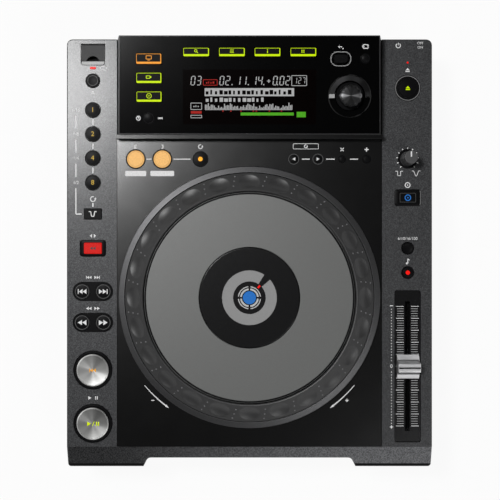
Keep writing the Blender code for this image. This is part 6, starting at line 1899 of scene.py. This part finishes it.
class PLAYER_OT_stage(bpy.types.Operator):
    """Set the floor, the lamps, the world and the camera"""

    bl_idname = "player.stage"
    bl_label = "Stage"

    KEY_PLACE, KEY_SIZE = (-0.45, 0.35, 1.60), 0.30
    FILL_PLACE, FILL_SIZE = (0.62, -0.78, 1.50), 0.55
    WALL_REACH, WALL_BEND, WALL_HEIGHT = 3.5, 0.8, 1.9

    def execute(self, context):
        scene = context.scene
        settings = scene.player_stage
        scene.view_settings.view_transform = "Standard"
        self.backdrop(settings)
        self.lamp("key_light", self.KEY_PLACE, self.KEY_SIZE, settings.key_power)
        self.lamp("fill_light", self.FILL_PLACE, self.FILL_SIZE, settings.fill_power)
        world = bpy.data.worlds.new("studio")
        world.use_nodes = True
        background = world.node_tree.nodes["Background"]
        background.inputs["Color"].default_value = (1, 1, 1, 1)
        background.inputs["Strength"].default_value = settings.world
        scene.world = world
        camera = bpy.data.cameras.new("photo_camera")
        camera.sensor_width = SENSOR_WIDTH * 1000
        camera.lens = SENSOR_WIDTH * 1000 * CAMERA_HEIGHT / (PICTURE_WIDTH * METRES_PER_PIXEL)
        camera.shift_y = CAMERA_SHIFT
        camera.clip_end = 20
        viewer = bpy.data.objects.new("photo_camera", camera)
        viewer.location = (CAMERA_X, CAMERA_Y, DECK_LEVEL + CAMERA_HEIGHT)
        scene.collection.objects.link(viewer)
        scene.camera = viewer
        return {"FINISHED"}

    def backdrop(self, settings):
        """A round paper floor that curves up into a wall: a profile turned about Z, seen from inside."""
        bend = self.WALL_BEND
        curve = arc(bend, -90, 0, 13, (self.WALL_REACH - bend, bend))
        profile = np.concatenate([[(0.01, 0)], curve, [(self.WALL_REACH, self.WALL_HEIGHT)]])
        points, faces = lathe(profile[::-1])
        mesh = bpy.data.meshes.new("paper")
        mesh.from_pydata(points.tolist(), [], faces[0].tolist() + faces[2].tolist())
        mesh.flip_normals()
        mesh.shade_smooth()
        mesh.materials.append(self.paper(settings))
        paper = bpy.data.objects.new("paper", mesh)
        bpy.context.scene.collection.objects.link(paper)

    def paper(self, settings):
        """White paper that keeps the object's shadow, lifted towards plain white where it is seen."""
        nodes = Nodes("floor_paper", tuned(settings.floor), 0.9)
        rays = nodes.add("ShaderNodeLightPath").outputs
        seen = nodes.math("MAXIMUM", rays["Is Camera Ray"], rays["Is Glossy Ray"])
        through = nodes.math("MAXIMUM", seen, rays["Is Transmission Ray"])
        share = nodes.math("MULTIPLY", through, settings.paper_share)
        white = nodes.add("ShaderNodeEmission").outputs["Emission"]
        blend = nodes.add("ShaderNodeMixShader", {0: share, 1: nodes.shader.outputs["BSDF"], 2: white})
        nodes.feed(nodes.tree.nodes["Material Output"], {"Surface": blend.outputs["Shader"]})
        return nodes.material

    def lamp(self, name, place, size, power):
        """A square lamp that faces the deck's middle."""
        light = bpy.data.lights.new(name, "AREA")
        light.shape = "SQUARE"
        light.size = size
        light.energy = power
        lamp = bpy.data.objects.new(name, light)
        back = np.array(place) - (0, 0, DECK_LEVEL)
        back = back / np.linalg.norm(back)
        right = np.cross(UPWARDS, back)
        right = right / np.linalg.norm(right)
        matrix = np.eye(4)
        matrix[:3, :3] = np.stack([right, np.cross(back, right), back], axis=1)
        matrix[:3, 3] = place
        lamp.matrix_world = matrix.T.tolist()
        bpy.context.scene.collection.objects.link(lamp)


OPERATORS = (
    PLAYER_OT_case, PLAYER_OT_deck, PLAYER_OT_jog_ring, PLAYER_OT_jog_top, PLAYER_OT_display_block,
    PLAYER_OT_screen, PLAYER_OT_display_keys, PLAYER_OT_left_panel, PLAYER_OT_transport,
    PLAYER_OT_deck_buttons, PLAYER_OT_right_panel, PLAYER_OT_tempo_slider, PLAYER_OT_usb, PLAYER_OT_inside,
    PLAYER_OT_stage,
)


class PLAYER_PT_panel(bpy.types.Panel):
    """The player's pieces and finishes"""

    bl_idname = "PLAYER_PT_panel"
    bl_label = "CD Player"
    bl_space_type = "VIEW_3D"
    bl_region_type = "UI"
    bl_category = "CD Player"

    def draw(self, context):
        for group in GROUPS:
            settings = getattr(context.scene, group)
            for name in settings.__annotations__:
                self.layout.prop(settings, name)
        for operator in OPERATORS:
            self.layout.operator(operator.bl_idname)


GROUPS = {"player_colours": PlayerColours, "player_sizes": PlayerSizes, "player_stage": PlayerStage}
CLASSES = (*GROUPS.values(), *OPERATORS, PLAYER_PT_panel)


def register():
    for cls in CLASSES:
        bpy.utils.register_class(cls)
    for name, group in GROUPS.items():
        setattr(bpy.types.Scene, name, bpy.props.PointerProperty(type=group))


def unregister():
    for name in GROUPS:
        delattr(bpy.types.Scene, name)
    for cls in reversed(CLASSES):
        bpy.utils.unregister_class(cls)


def main():
    """Makes every piece."""
    register()
    for operator in OPERATORS:
        group, name = operator.bl_idname.split(".")
        getattr(getattr(bpy.ops, group), name)()


if __name__ == "__main__":
    main()
